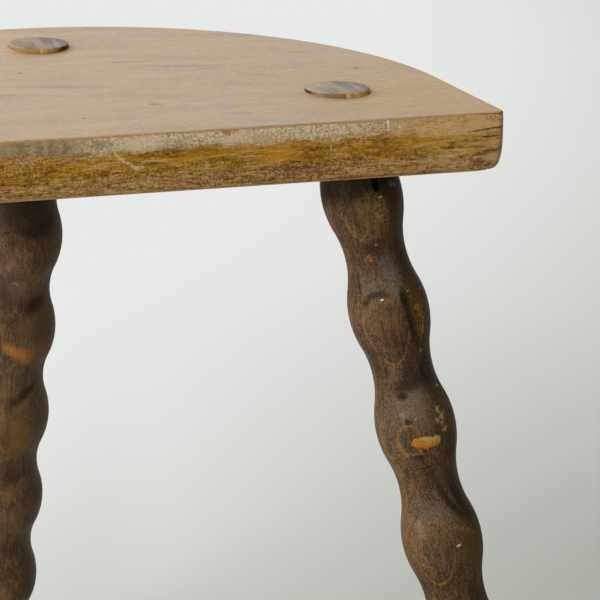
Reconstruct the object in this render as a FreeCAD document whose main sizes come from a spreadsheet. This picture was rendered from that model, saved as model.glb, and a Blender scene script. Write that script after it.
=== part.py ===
import FreeCAD, Part
import enum
import math
import os
from typing import NamedTuple

import Sketcher

# A half-moon plank stool. One thick board, straight in front and rounded behind, stands on three
# splayed legs that are turned as rows of beads. Each leg ends in a round tenon that comes up
# through the seat, where a wedge driven into its saw kerf spreads it.
#
# X runs to the right along the seat's front edge, Y towards its round back and Z up. The origin
# is on the floor, under the middle of the stool's own box. Lengths are millimetres, angles degrees.

SIZES = (
    ("seat_height", 450.0, "floor to the seat's top face"),
    ("seat_width", 402.5, "widest measure of the seat, across its front corners"),
    ("seat_depth", 238.5, "front edge to the middle of the round back"),
    ("seat_thickness", 32.0, "thickness of the board"),
    ("corner_radius", 4.5, "rounding of the two front corners in plan"),
    ("side_length", 74.0, "straight stretch of each side behind the corner"),
    ("side_lean_angle", 7.2, "how far each side closes in towards the back"),
    ("shoulder_end_angle", 53.0, "plan direction in which the shoulder arc meets the back arc"),
    ("top_edge_radius", 1.5, "rounding of the seat's top edge"),
    ("bottom_edge_radius", 5.0, "rounding of the seat's bottom edge"),
    ("side_inset", 71.2, "widest point of the seat to a front leg's axis, at the top face"),
    ("front_inset", 61.0, "front edge to the front legs' axes, at the top face"),
    ("back_inset", 45.5, "middle of the back to the back leg's axis, at the top face"),
    ("front_splay_angle", 16.75, "lean of a front leg from upright"),
    ("back_splay_angle", 17.3, "lean of the back leg from upright"),
    ("front_turn_angle", 47.5, "plan direction of a front leg's lean, from the long direction"),
    ("bead_diameter", 43.2, "leg across the middle of a bead"),
    ("bead_relief", 5.25, "depth of the hollow between two beads"),
    ("bead_pitch", 63.5, "middle of one bead to the middle of the next"),
    ("front_neck", 16.7, "shoulder of a front leg to the middle of its first bead"),
    ("back_neck", 23.0, "shoulder of the back leg to the middle of its first bead"),
    ("tenon_diameter", 33.0, "round tenon that fills the seat's socket"),
    ("tenon_proud", 2.5, "how far the tenon stands above the seat"),
    ("socket_clearance", 0.1, "air between tenon and socket, all round"),
    ("kerf_mouth", 6.2, "width of the saw kerf at its open end, spread by the wedge"),
    ("kerf_end", 4.0, "width of the saw kerf at its closed end"),
    ("kerf_run", 14.0, "how far the kerf runs on below the shoulder"),
    ("kerf_turn_angle", 7.0, "how far a front leg's kerf turns from straight ahead towards its foot"),
    ("wedge_clearance", 0.1, "air on each side of the wedge"),
    ("overrun", 6.0, "how far a cut reaches past what it cuts"),
)

TENON_RADIUS = "Sizes.tenon_diameter / 2"
BEAD_RADIUS = "Sizes.bead_diameter / 2"
COVE_RADIUS = "(Sizes.bead_diameter / 2 - Sizes.bead_relief)"

# Beads and hollows are arcs of one radius, each a quarter of the pitch high on either side
BEAD_SWELL = "(Sizes.bead_relief / 2)"
BEAD_ARC_RADIUS = f"(((Sizes.bead_pitch / 4)^2 + {BEAD_SWELL}^2) / (2 * {BEAD_SWELL}))"


class Leg(NamedTuple):
    """Where one leg stands and how it leans, as expressions on the sheet."""

    name: str
    across: str
    setback: str
    splay: str
    turn: str
    kerf_turn: str
    neck: str

    @property
    def shoulder(self) -> str:
        """Depth of the shoulder down the axis, where the whole leg is clear of the seat."""
        return f"(Sizes.seat_thickness / cos({self.splay}) + {BEAD_RADIUS} * tan({self.splay}))"

    @property
    def first_bead(self) -> str:
        """Depth of the first bead's middle down the axis, below the seat's top face."""
        return f"({self.shoulder} + {self.neck})"

    @property
    def reach(self) -> str:
        """Height up the axis that is past the tenon's level top on every side."""
        height = "(Sizes.tenon_proud + Sizes.overrun)"
        return f"({height} / cos({self.splay}) + {TENON_RADIUS} * tan({self.splay}))"

    @property
    def length(self) -> str:
        """Depth down the axis that is past the level foot on every side."""
        return f"(Sizes.seat_height / cos({self.splay}) + {BEAD_RADIUS} * tan({self.splay}))"


FRONT_ACROSS = "(Sizes.seat_width / 2 - Sizes.side_inset)"

LEGS = (
    Leg("front_left", f"-{FRONT_ACROSS}", "Sizes.front_inset", "Sizes.front_splay_angle",
        "(Sizes.front_turn_angle - 180)", "-Sizes.kerf_turn_angle", "Sizes.front_neck"),
    Leg("front_right", FRONT_ACROSS, "Sizes.front_inset", "Sizes.front_splay_angle",
        "(-Sizes.front_turn_angle)", "Sizes.kerf_turn_angle", "Sizes.front_neck"),
    Leg("back", "0", "(Sizes.seat_depth - Sizes.back_inset)", "Sizes.back_splay_angle",
        "90", "0", "Sizes.back_neck"),
)


class Own(enum.IntEnum):
    """How a sketch numbers its own axes. The origin is the start point of either."""

    ACROSS = -1
    UPRIGHT = -2


class Place(enum.IntEnum):
    """How a sketch numbers the points of an element."""

    START = 1
    END = 2
    CENTRE = 3


ORIGIN = (Own.ACROSS, Place.START)


# Helpers for the sheet, sketches and cuts

def add_sheet(doc):
    """Write the driving sizes into a spreadsheet, one named cell each."""
    sheet = doc.addObject("Spreadsheet::Sheet", "Sizes")
    for row, (alias, size, meaning) in enumerate(SIZES, start=1):
        sheet.set(f"A{row}", meaning)
        sheet.set(f"B{row}", str(size))
        sheet.setAlias(f"B{row}", alias)
    doc.recompute()
    return sheet


def set_box_middle(sheet, size):
    """Write where the middle of the stool's box lies, beside the driving sizes."""
    sheet.set("C1", "front edge to the middle of the stool's own box")
    sheet.set("D1", f"{size:.6f}")
    sheet.setAlias("D1", "box_middle")
    sheet.Document.recompute()


def number(thing, expression):
    """Read an expression on the sheet as a plain number."""
    return float(thing.evalExpression(expression))


def point(x, y):
    """A place in a sketch."""
    return FreeCAD.Vector(x, y, 0)


def origin_feature(body, role):
    """Find one of the body's own origin planes or axes."""
    return next(feature for feature in body.Origin.OriginFeatures if feature.Role == role)


def add_sketch(body, name, plane, offset=None):
    """Attach a new sketch to one of the body's planes, moved off it by a placement expression."""
    sketch = body.newObject("Sketcher::SketchObject", name)
    sketch.AttachmentSupport = [(origin_feature(body, plane), "")]
    sketch.MapMode = "FlatFace"
    if offset:
        sketch.setExpression("AttachmentOffset", offset)
    return sketch


def add_line(sketch, start, end):
    """Draw a line."""
    return sketch.addGeometry(Part.LineSegment(point(*start), point(*end)))


def add_arc(sketch, centre, radius, start, end):
    """Draw an arc that runs anticlockwise between two directions, given in radians."""
    circle = Part.Circle(point(*centre), FreeCAD.Vector(0, 0, 1), radius)
    return sketch.addGeometry(Part.ArcOfCircle(circle, start, end))


def constrain(sketch, *rules):
    """Add constraints that have no size."""
    for rule in rules:
        sketch.addConstraint(Sketcher.Constraint(*rule))


def dimension(sketch, name, expression, kind, *places):
    """Add a named dimension that follows an expression on the sheet."""
    size = number(sketch, expression)
    if kind == "Angle":
        size = math.radians(size)
    index = sketch.addConstraint(Sketcher.Constraint(kind, *places, size))
    sketch.renameConstraint(index, name)
    sketch.setExpression(f"Constraints.{name}", expression)


def add_circle(sketch, name, radius):
    """Draw a circle about the sketch's origin."""
    circle = Part.Circle(point(0, 0), FreeCAD.Vector(0, 0, 1), number(sketch, radius))
    index = sketch.addGeometry(circle)
    constrain(sketch, ("Coincident", index, Place.CENTRE, *ORIGIN))
    dimension(sketch, name, radius, "Radius", index)


def cut_through(body, name, sketch):
    """Cut a sketch through the body on both sides of its plane."""
    cut = body.newObject("PartDesign::Pocket", name)
    cut.Profile = sketch
    cut.Type = "ThroughAll"
    cut.SideType = "Symmetric"
    return cut


def cut_level(body, name, splay, height, cut_above):
    """Cut a leaning piece off level at a height measured plumb from its origin."""
    offset = f"placement(vector(0; 0; {height} / cos({splay})); rotation(0; {splay}; 0))"
    sketch = add_sketch(body, f"{name}Sketch", "XY_Plane", offset)
    add_circle(sketch, "cover", "Sizes.bead_diameter")
    cut = body.newObject("PartDesign::Pocket", name)
    cut.Profile = sketch
    cut.Type = "ThroughAll"
    cut.Reversed = cut_above
    return cut


# Seat

def seat_arcs(sheet):
    """Work out the half outline's tangent arcs: centre, radius, start and end of each."""
    lean = math.radians(sheet.side_lean_angle)
    turn = math.radians(sheet.shoulder_end_angle)
    corner = (sheet.seat_width / 2 - sheet.corner_radius, sheet.corner_radius)
    side_x = corner[0] + sheet.corner_radius * math.cos(lean) - sheet.side_length * math.sin(lean)
    side_y = corner[1] + sheet.corner_radius * math.sin(lean) + sheet.side_length * math.cos(lean)

    # Both arcs share a tangent where they meet, which fixes their radii in two linear equations
    back_rise = 1 - math.sin(turn)
    shoulder_run = math.cos(lean) - math.cos(turn)
    shoulder_rise = math.sin(turn) - math.sin(lean)
    depth_left = sheet.seat_depth - side_y
    scale = math.cos(turn) * shoulder_rise - shoulder_run * back_rise
    back_radius = (side_x * shoulder_rise - shoulder_run * depth_left) / scale
    shoulder_radius = (math.cos(turn) * depth_left - back_rise * side_x) / scale

    shoulder = (side_x - shoulder_radius * math.cos(lean), side_y - shoulder_radius * math.sin(lean))
    back = (0, sheet.seat_depth - back_radius)
    return (
        (corner, sheet.corner_radius, -math.pi / 2, lean),
        (shoulder, shoulder_radius, lean, turn),
        (back, back_radius, turn, math.pi / 2),
    )


def arc_end(arc, which):
    """The first or last point of an arc."""
    centre, radius, start, end = arc
    direction = start if which == Place.START else end
    return (centre[0] + radius * math.cos(direction), centre[1] + radius * math.sin(direction))


def draw_seat_outline(sheet, sketch):
    """Draw the right half of the seat's plan, from the front edge round to the back."""
    corner_arc, shoulder_arc, back_arc = seat_arcs(sheet)
    front = add_line(sketch, (0, 0), arc_end(corner_arc, Place.START))
    corner = add_arc(sketch, *corner_arc)
    side = add_line(sketch, arc_end(corner_arc, Place.END), arc_end(shoulder_arc, Place.START))
    shoulder = add_arc(sketch, *shoulder_arc)
    back = add_arc(sketch, *back_arc)
    middle = add_line(sketch, arc_end(back_arc, Place.END), (0, 0))
    join = add_line(sketch, back_arc[0], arc_end(back_arc, Place.START))
    sketch.toggleConstruction(join)
    constrain(
        sketch,
        ("Coincident", front, Place.START, *ORIGIN),
        ("Horizontal", front),
        ("Tangent", front, Place.END, corner, Place.START),
        ("Tangent", corner, Place.END, side, Place.START),
        ("Tangent", side, Place.END, shoulder, Place.START),
        ("Tangent", shoulder, Place.END, back, Place.START),
        ("Coincident", back, Place.END, middle, Place.START),
        ("Coincident", middle, Place.END, *ORIGIN),
        ("Vertical", middle),
        ("PointOnObject", back, Place.CENTRE, Own.UPRIGHT),
        ("Coincident", join, Place.START, back, Place.CENTRE),
        ("Coincident", join, Place.END, back, Place.START),
    )
    dimension(sketch, "corner_radius", "Sizes.corner_radius", "Radius", corner)
    dimension(sketch, "half_width", "Sizes.seat_width / 2 - Sizes.corner_radius",
              "DistanceX", *ORIGIN, corner, Place.CENTRE)
    dimension(sketch, "side_direction", "90 + Sizes.side_lean_angle", "Angle", side)
    dimension(sketch, "side_length", "Sizes.side_length", "Distance", side)
    dimension(sketch, "depth", "Sizes.seat_depth", "DistanceY", middle, Place.END, middle, Place.START)
    dimension(sketch, "shoulder_end_angle", "Sizes.shoulder_end_angle", "Angle", join)


def round_edges(body, name, height, radius):
    """Round all the seat's outer edges that lie at one height."""
    base = body.Tip
    level = number(body, height)
    edges = [
        f"Edge{index}"
        for index, edge in enumerate(base.Shape.Edges, start=1)
        if math.isclose(edge.BoundBox.ZMin, level, abs_tol=Part.Precision.confusion())
        and math.isclose(edge.BoundBox.ZMax, level, abs_tol=Part.Precision.confusion())
    ]
    fillet = body.newObject("PartDesign::Fillet", name)
    fillet.Base = (base, edges)
    fillet.setExpression("Radius", radius)
    body.Document.recompute()


def bore_socket(body, leg):
    """Bore the leaning round hole for one leg's tenon."""
    offset = f"placement(vector({leg.across}; {leg.setback}; 0); rotation({leg.turn}; -{leg.splay}; 0))"
    sketch = add_sketch(body, f"{leg.name}_socket_sketch", "XY_Plane", offset)
    add_circle(sketch, "bore", f"{TENON_RADIUS} + Sizes.socket_clearance")
    cut_through(body, f"{leg.name}_socket", sketch)


def make_seat(doc, sheet):
    """The board: its top face is the body's own XY plane and its front edge the X axis."""
    body = doc.addObject("PartDesign::Body", "seat")
    outline = add_sketch(body, "HalfOutline", "XY_Plane")
    draw_seat_outline(sheet, outline)
    half = body.newObject("PartDesign::Pad", "HalfBoard")
    half.Profile = outline
    half.setExpression("Length", "Sizes.seat_thickness")
    half.Reversed = True
    board = body.newObject("PartDesign::Mirrored", "Board")
    board.Originals = [half]
    board.MirrorPlane = (origin_feature(body, "YZ_Plane"), [""])
    body.Tip = board
    doc.recompute()
    round_edges(body, "TopEdge", "0", "Sizes.top_edge_radius")
    round_edges(body, "BottomEdge", "-Sizes.seat_thickness", "Sizes.bottom_edge_radius")
    for leg in LEGS:
        bore_socket(body, leg)
    return body


# Legs. Each leg's own Z axis is the axis it is turned on, and its origin lies where that axis
# meets the seat's top face. Its X axis points the way the foot leans out.

def draw_bead(leg, sketch):
    """Draw half a bead's section with half of the hollow on either side of it."""
    radius = number(sketch, BEAD_ARC_RADIUS)
    depth = number(sketch, leg.first_bead)
    half_pitch = number(sketch, "Sizes.bead_pitch / 2")
    cove = number(sketch, COVE_RADIUS)
    bead = number(sketch, BEAD_RADIUS)
    swing = math.asin(half_pitch / 2 / radius)
    top_y = half_pitch - depth
    low_y = -half_pitch - depth

    axis = add_line(sketch, (0, low_y), (0, top_y))
    top = add_line(sketch, (0, top_y), (cove, top_y))
    upper = add_arc(sketch, (cove + radius, top_y), radius, math.pi, math.pi + swing)
    belly = add_arc(sketch, (bead - radius, -depth), radius, -swing, swing)
    lower = add_arc(sketch, (cove + radius, low_y), radius, math.pi - swing, math.pi)
    low = add_line(sketch, (cove, low_y), (0, low_y))
    constrain(
        sketch,
        ("PointOnObject", axis, Place.START, Own.UPRIGHT),
        ("PointOnObject", axis, Place.END, Own.UPRIGHT),
        ("Coincident", axis, Place.END, top, Place.START),
        ("Horizontal", top),
        ("Coincident", top, Place.END, upper, Place.START),
        ("Tangent", upper, Place.END, belly, Place.END),
        ("Tangent", belly, Place.START, lower, Place.START),
        ("Coincident", lower, Place.END, low, Place.START),
        ("Horizontal", low),
        ("Coincident", low, Place.END, axis, Place.START),
        ("Horizontal", upper, Place.CENTRE, upper, Place.START),
        ("Horizontal", lower, Place.CENTRE, lower, Place.END),
        ("Vertical", upper, Place.START, lower, Place.END),
        ("Equal", upper, belly),
        ("Equal", belly, lower),
    )
    dimension(sketch, "arc_radius", BEAD_ARC_RADIUS, "Radius", belly)
    dimension(sketch, "cove_radius", COVE_RADIUS, "Distance", top)
    dimension(sketch, "pitch", "Sizes.bead_pitch", "Distance", axis)
    dimension(sketch, "depth", leg.first_bead, "DistanceY", belly, Place.CENTRE, *ORIGIN)


def draw_rectangle(sketch, left, right, low, top):
    """Draw an upright rectangle whose four sides follow expressions."""
    x0, x1, y0, y1 = (number(sketch, side) for side in (left, right, low, top))
    corners = ((x0, y0), (x1, y0), (x1, y1), (x0, y1))
    sides = [add_line(sketch, corners[i], corners[(i + 1) % 4]) for i in range(4)]
    for i, side in enumerate(sides):
        constrain(
            sketch,
            ("Coincident", side, Place.END, sides[(i + 1) % 4], Place.START),
            ("Vertical" if i % 2 else "Horizontal", side),
        )
    dimension(sketch, "left", left, "DistanceX", *ORIGIN, sides[0], Place.START)
    dimension(sketch, "right", right, "DistanceX", *ORIGIN, sides[0], Place.END)
    dimension(sketch, "low", low, "DistanceY", *ORIGIN, sides[0], Place.START)
    dimension(sketch, "top", top, "DistanceY", *ORIGIN, sides[2], Place.START)


def draw_taper(sketch, top, top_width, tip, tip_width):
    """Draw a tapered slot or wedge that hangs down the sketch's upright axis."""
    y1, w1, y0, w0 = (number(sketch, size) for size in (top, top_width, tip, tip_width))
    corners = ((-w0 / 2, y0), (w0 / 2, y0), (w1 / 2, y1), (-w1 / 2, y1))
    sides = [add_line(sketch, corners[i], corners[(i + 1) % 4]) for i in range(4)]
    for i, side in enumerate(sides):
        constrain(sketch, ("Coincident", side, Place.END, sides[(i + 1) % 4], Place.START))
    constrain(
        sketch,
        ("Symmetric", sides[0], Place.START, sides[0], Place.END, Own.UPRIGHT),
        ("Symmetric", sides[2], Place.START, sides[2], Place.END, Own.UPRIGHT),
    )
    dimension(sketch, "tip_width", tip_width, "Distance", sides[0])
    dimension(sketch, "top_width", top_width, "Distance", sides[2])
    dimension(sketch, "tip", tip, "DistanceY", *ORIGIN, sides[0], Place.START)
    dimension(sketch, "top", top, "DistanceY", *ORIGIN, sides[2], Place.START)


def turn_beads(body, leg):
    """Turn one bead and repeat it down the leg until the row is past the floor."""
    sketch = add_sketch(body, "BeadSketch", "XZ_Plane")
    draw_bead(leg, sketch)
    bead = body.newObject("PartDesign::Revolution", "Bead")
    bead.Profile = sketch
    bead.ReferenceAxis = (sketch, ["V_Axis"])
    row = body.newObject("PartDesign::LinearPattern", "Beads")
    row.Originals = [bead]
    row.Direction = (origin_feature(body, "Z_Axis"), [""])
    row.Reversed = True
    row.Mode = "Spacing"
    row.setExpression("Offset", "Sizes.bead_pitch")
    row.setExpression("Occurrences", f"ceil(({leg.length} - {leg.first_bead}) / Sizes.bead_pitch + 1 / 2)")
    body.Tip = row


def turn_tenon(body, leg):
    """Clear the first bead away above the shoulder and run the tenon up from inside it."""
    waste_sketch = add_sketch(body, "WasteSketch", "XZ_Plane")
    clear_of_bead = f"{BEAD_RADIUS} + {TENON_RADIUS}"
    draw_rectangle(waste_sketch, TENON_RADIUS, clear_of_bead, f"-{leg.shoulder}", leg.reach)
    waste = body.newObject("PartDesign::Groove", "Waste")
    waste.Profile = waste_sketch
    waste.ReferenceAxis = (waste_sketch, ["V_Axis"])
    tenon_sketch = add_sketch(body, "TenonSketch", "XY_Plane")
    add_circle(tenon_sketch, "tenon", TENON_RADIUS)
    tenon = body.newObject("PartDesign::Pad", "Tenon")
    tenon.Profile = tenon_sketch
    tenon.SideType = "Two sides"
    tenon.setExpression("Length", leg.reach)
    tenon.setExpression("Length2", leg.first_bead)


def across_kerf(leg):
    """The attachment that turns a sketch of the leg's section to look along the kerf."""
    return f"placement(vector(0; 0; 0); rotation(0; {leg.kerf_turn} - {leg.turn}; 0))"


def kerf_depth(leg):
    """Depth of the kerf's closed end down the axis."""
    return f"({leg.shoulder} + Sizes.kerf_run)"


def wedge_depth(leg):
    """Depth of the wedge's tip down the axis, level with the seat's underside."""
    return f"(Sizes.seat_thickness / cos({leg.splay}))"


def wedge_tip_width(leg):
    """The kerf's width where the wedge ends, less the air on both sides."""
    share = f"({leg.reach} + {wedge_depth(leg)}) / ({leg.reach} + {kerf_depth(leg)})"
    return f"(Sizes.kerf_mouth + (Sizes.kerf_end - Sizes.kerf_mouth) * {share} - 2 * Sizes.wedge_clearance)"


def place_on_seat(body, leg):
    """Stand a leg or wedge at its socket, leaning its own way."""
    where = f"vector({leg.across}; {leg.setback} - Sizes.box_middle; Sizes.seat_height)"
    body.setExpression("Placement", f"placement({where}; rotation({leg.turn}; -{leg.splay}; 0))")


def make_leg(doc, leg):
    """One turned leg with its tenon, its kerf and its level foot."""
    body = doc.addObject("PartDesign::Body", f"{leg.name}_leg")
    turn_beads(body, leg)
    turn_tenon(body, leg)
    cut_level(body, "TenonTop", leg.splay, "Sizes.tenon_proud", cut_above=True)
    cut_level(body, "Foot", leg.splay, "(-Sizes.seat_height)", cut_above=False)
    kerf = add_sketch(body, "KerfSketch", "XZ_Plane", across_kerf(leg))
    draw_taper(kerf, leg.reach, "Sizes.kerf_mouth", f"-{kerf_depth(leg)}", "Sizes.kerf_end")
    cut_through(body, "Kerf", kerf)
    place_on_seat(body, leg)
    return body


def make_wedge(doc, leg):
    """The wedge in one leg's kerf, trimmed round and level with the tenon."""
    body = doc.addObject("PartDesign::Body", f"{leg.name}_wedge")
    sketch = add_sketch(body, "TaperSketch", "XZ_Plane", across_kerf(leg))
    top_width = "Sizes.kerf_mouth - 2 * Sizes.wedge_clearance"
    draw_taper(sketch, leg.reach, top_width, f"-{wedge_depth(leg)}", wedge_tip_width(leg))
    taper = body.newObject("PartDesign::Pad", "Taper")
    taper.Profile = sketch
    taper.SideType = "Symmetric"
    taper.setExpression("Length", "Sizes.tenon_diameter + Sizes.overrun")
    trim = add_sketch(body, "TrimSketch", "XY_Plane")
    add_circle(trim, "inside", TENON_RADIUS)
    add_circle(trim, "outside", "Sizes.tenon_diameter + Sizes.overrun")
    cut_through(body, "RoundTrim", trim)
    cut_level(body, "WedgeTop", leg.splay, "Sizes.tenon_proud", cut_above=True)
    place_on_seat(body, leg)
    return body


# Whole stool

def centre_box(sheet, pieces):
    """Measure the whole stool and set its box's middle over the origin, front to back."""
    box = Part.makeCompound([piece.Shape for piece in pieces]).optimalBoundingBox(False)
    set_box_middle(sheet, (box.YMin + box.YMax) / 2)


def check_model(doc, pieces):
    """Stop if a feature failed, a cut removed nothing or a piece is not one sound solid."""
    for thing in doc.Objects:
        if "Invalid" in thing.State or "Error" in thing.State:
            raise RuntimeError(f"{thing.Name} did not recompute")
        if thing.TypeId == "PartDesign::Pocket" and not thing.Shape.Volume < thing.BaseFeature.Shape.Volume:
            raise RuntimeError(f"{thing.Name} cuts nothing")
    for piece in pieces:
        if piece.Shape.isNull() or not piece.Shape.isValid() or len(piece.Shape.Solids) != 1:
            raise RuntimeError(f"{piece.Label} is not one valid solid")


def main():
    """Build every piece, check it and write it out."""
    doc = FreeCAD.newDocument("half_moon_stool")
    sheet = add_sheet(doc)
    set_box_middle(sheet, 0)
    seat = make_seat(doc, sheet)
    where = "vector(0; -Sizes.box_middle; Sizes.seat_height)"
    seat.setExpression("Placement", f"placement({where}; rotation(0; 0; 0))")
    pieces = [seat]
    for leg in LEGS:
        pieces.append(make_leg(doc, leg))
        pieces.append(make_wedge(doc, leg))
    doc.recompute()
    centre_box(sheet, pieces)
    check_model(doc, pieces)
    os.makedirs("parts", exist_ok=True)
    for piece in pieces:
        piece.Shape.exportStep(f"parts/{piece.Label}.step")
        print(f"{piece.Label}: {piece.Shape.Volume / 1000:.1f} cm3, {piece.Shape.BoundBox}")


main()
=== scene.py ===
"""A half-moon plank stool on three bobbin-turned legs, dressed as the old one it follows.

Metres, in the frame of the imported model: X runs to the right along the seat's front edge, Y towards
its round back and Z up. The floor is at zero.
"""

import enum
import logging
import math
from dataclasses import dataclass
from typing import Any

import bmesh
import bpy
from mathutils import Color, Matrix, Vector, noise


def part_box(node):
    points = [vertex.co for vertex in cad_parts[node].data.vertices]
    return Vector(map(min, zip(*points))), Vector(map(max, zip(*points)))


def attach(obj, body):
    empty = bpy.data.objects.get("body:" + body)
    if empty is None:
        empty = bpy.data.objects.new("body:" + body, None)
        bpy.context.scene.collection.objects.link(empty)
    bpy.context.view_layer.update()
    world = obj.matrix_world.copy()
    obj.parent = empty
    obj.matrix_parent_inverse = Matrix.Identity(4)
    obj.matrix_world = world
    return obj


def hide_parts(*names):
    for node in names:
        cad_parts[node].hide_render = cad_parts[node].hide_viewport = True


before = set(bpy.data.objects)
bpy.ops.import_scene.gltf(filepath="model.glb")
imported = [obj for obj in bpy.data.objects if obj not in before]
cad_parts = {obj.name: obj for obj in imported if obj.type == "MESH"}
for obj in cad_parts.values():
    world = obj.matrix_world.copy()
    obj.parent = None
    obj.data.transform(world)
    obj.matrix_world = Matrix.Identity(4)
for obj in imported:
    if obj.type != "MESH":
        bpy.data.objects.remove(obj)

LOG = logging.getLogger("stool")
Mesh = bmesh.types.BMesh
Vert = bmesh.types.BMVert
Edge = bmesh.types.BMEdge
Piece = bpy.types.Object
Socket = bpy.types.NodeSocket
Tint = tuple[float, float, float, float]
Triple = tuple[float, float, float]
Flat = tuple[Socket, Socket]
Scale = tuple[tuple[float, Tint], ...]

# Distances in metres within which two places count as one
LOOSE, CLOSE, EXACT = 1e-5, 1e-6, 1e-7


class Slot(enum.Enum):
    """The record's material slots."""

    SEAT = "seat_wood"
    LEG = "leg_wood"
    WEDGE = "wedge_wood"


def tint(red: int, green: int, blue: int) -> Tint:
    """A colour as a screen shows it, 0 to 255, in the scene's own linear values."""
    return (*Color((red / 255, green / 255, blue / 255)).from_srgb_to_scene_linear(), 1.0)


# Joinery helpers


def add_mesh(name: str, bm: Mesh) -> Piece:
    """Turn finished mesh work into an object in the scene.

    Args:
        name: The object's name.
        bm: The mesh work, which is used up.

    Returns:
        The new object, at the origin.
    """
    mesh = bpy.data.meshes.new(name)
    bm.to_mesh(mesh)
    bm.free()
    made = bpy.data.objects.new(name, mesh)
    bpy.context.scene.collection.objects.link(made)
    return made


def carve(block: Piece, tools: list[Piece]) -> None:
    """Cut the shapes of some tools out of a block, then clear the tools away.

    Args:
        block: The object to cut.
        tools: Closed solids to take out of it.
    """
    for tool in tools:
        cut = block.modifiers.new("cut", "BOOLEAN")
        cut.operation = "DIFFERENCE"
        cut.solver = "EXACT"
        cut.object = tool
    seen = bpy.context.evaluated_depsgraph_get()
    uncut = block.data
    block.data = bpy.data.meshes.new_from_object(block.evaluated_get(seen))
    block.modifiers.clear()
    bpy.data.meshes.remove(uncut)
    for tool in tools:
        bpy.data.meshes.remove(tool.data)


def smooth(piece: Piece, crease: float = 35.0) -> None:
    """Shade a piece smooth, apart from edges sharper than a number of degrees."""
    piece.data.shade_smooth()
    piece.data.set_sharp_from_angle(angle=math.radians(crease))


def cut_off(bm: Mesh, place: Vector, outward: Vector) -> None:
    """Saw a solid off at a plane and close the cut.

    Args:
        bm: The solid.
        place: A point on the plane.
        outward: Direction of the waste.
    """
    everything = bm.verts[:] + bm.edges[:] + bm.faces[:]
    found = bmesh.ops.bisect_plane(
        bm, geom=everything, dist=EXACT, plane_co=place, plane_no=outward, clear_outer=True
    )
    rim = [part for part in found["geom_cut"] if isinstance(part, Edge)]
    bmesh.ops.edgeloop_fill(bm, edges=rim)


def score(bm: Mesh, axis: Vector, places: list[float]) -> None:
    """Divide every face along planes across one direction, so that it can take a gentle shape.

    Args:
        bm: The mesh to divide.
        axis: Direction across the planes.
        places: Where along the direction each plane lies.
    """
    for place in places:
        point, everything = axis * place, bm.verts[:] + bm.edges[:] + bm.faces[:]
        bmesh.ops.bisect_plane(bm, geom=everything, dist=CLOSE, plane_co=point, plane_no=axis)


def evenly(start: float, end: float, step: float) -> list[float]:
    """Places between two ends, about a step apart, without the ends themselves."""
    count = max(1, round((end - start) / step))
    return [start + (end - start) * i / count for i in range(1, count)]


def extrude_to(bm: Mesh, vert: Vert, place: Vector) -> Vert:
    """Draw a line on from a vertex to a place and return its new end."""
    made = bmesh.ops.extrude_vert_indiv(bm, verts=[vert])["verts"][0]
    made.co = place
    return made


def sweep(
    bm: Mesh, vert: Vert, centre: Vector, axis: Vector, angle: float, steps: int
) -> Vert:
    """Draw an arc on from a vertex.

    Args:
        bm: The mesh to draw in.
        vert: Where the arc starts.
        centre: Its centre.
        axis: The direction it turns about.
        angle: How far it turns, in radians.
        steps: How many pieces it has.

    Returns:
        The vertex at its end.
    """
    swept = bmesh.ops.spin(bm, geom=[vert], cent=centre, axis=axis, angle=angle, steps=steps)
    return next(part for part in swept["geom_last"] if isinstance(part, Vert))


def round_off(bm: Mesh, edges: list[Edge], radius: float, segments: int) -> None:
    """Round some edges over.

    Args:
        bm: The solid.
        edges: Its edges to round.
        radius: How far from each edge the rounding starts.
        segments: How many strips it has.
    """
    bmesh.ops.bevel(
        bm,
        geom=edges,
        offset=radius,
        offset_type="OFFSET",
        segments=segments,
        profile=0.5,
        affect="EDGES",
        material=-1,
    )


def round_bar(bm: Mesh, radius: float, length: float, sides: int, stance: Matrix) -> None:
    """Make a closed round bar.

    Args:
        bm: The mesh to make it in.
        radius: Its radius.
        length: Its length, half of it each way.
        sides: How many flats go round it.
        stance: The frame whose Z it lies along.
    """
    bmesh.ops.create_cone(
        bm,
        cap_ends=True,
        segments=sides,
        radius1=radius,
        radius2=radius,
        depth=length,
        matrix=stance,
    )


# Finishes


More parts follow.
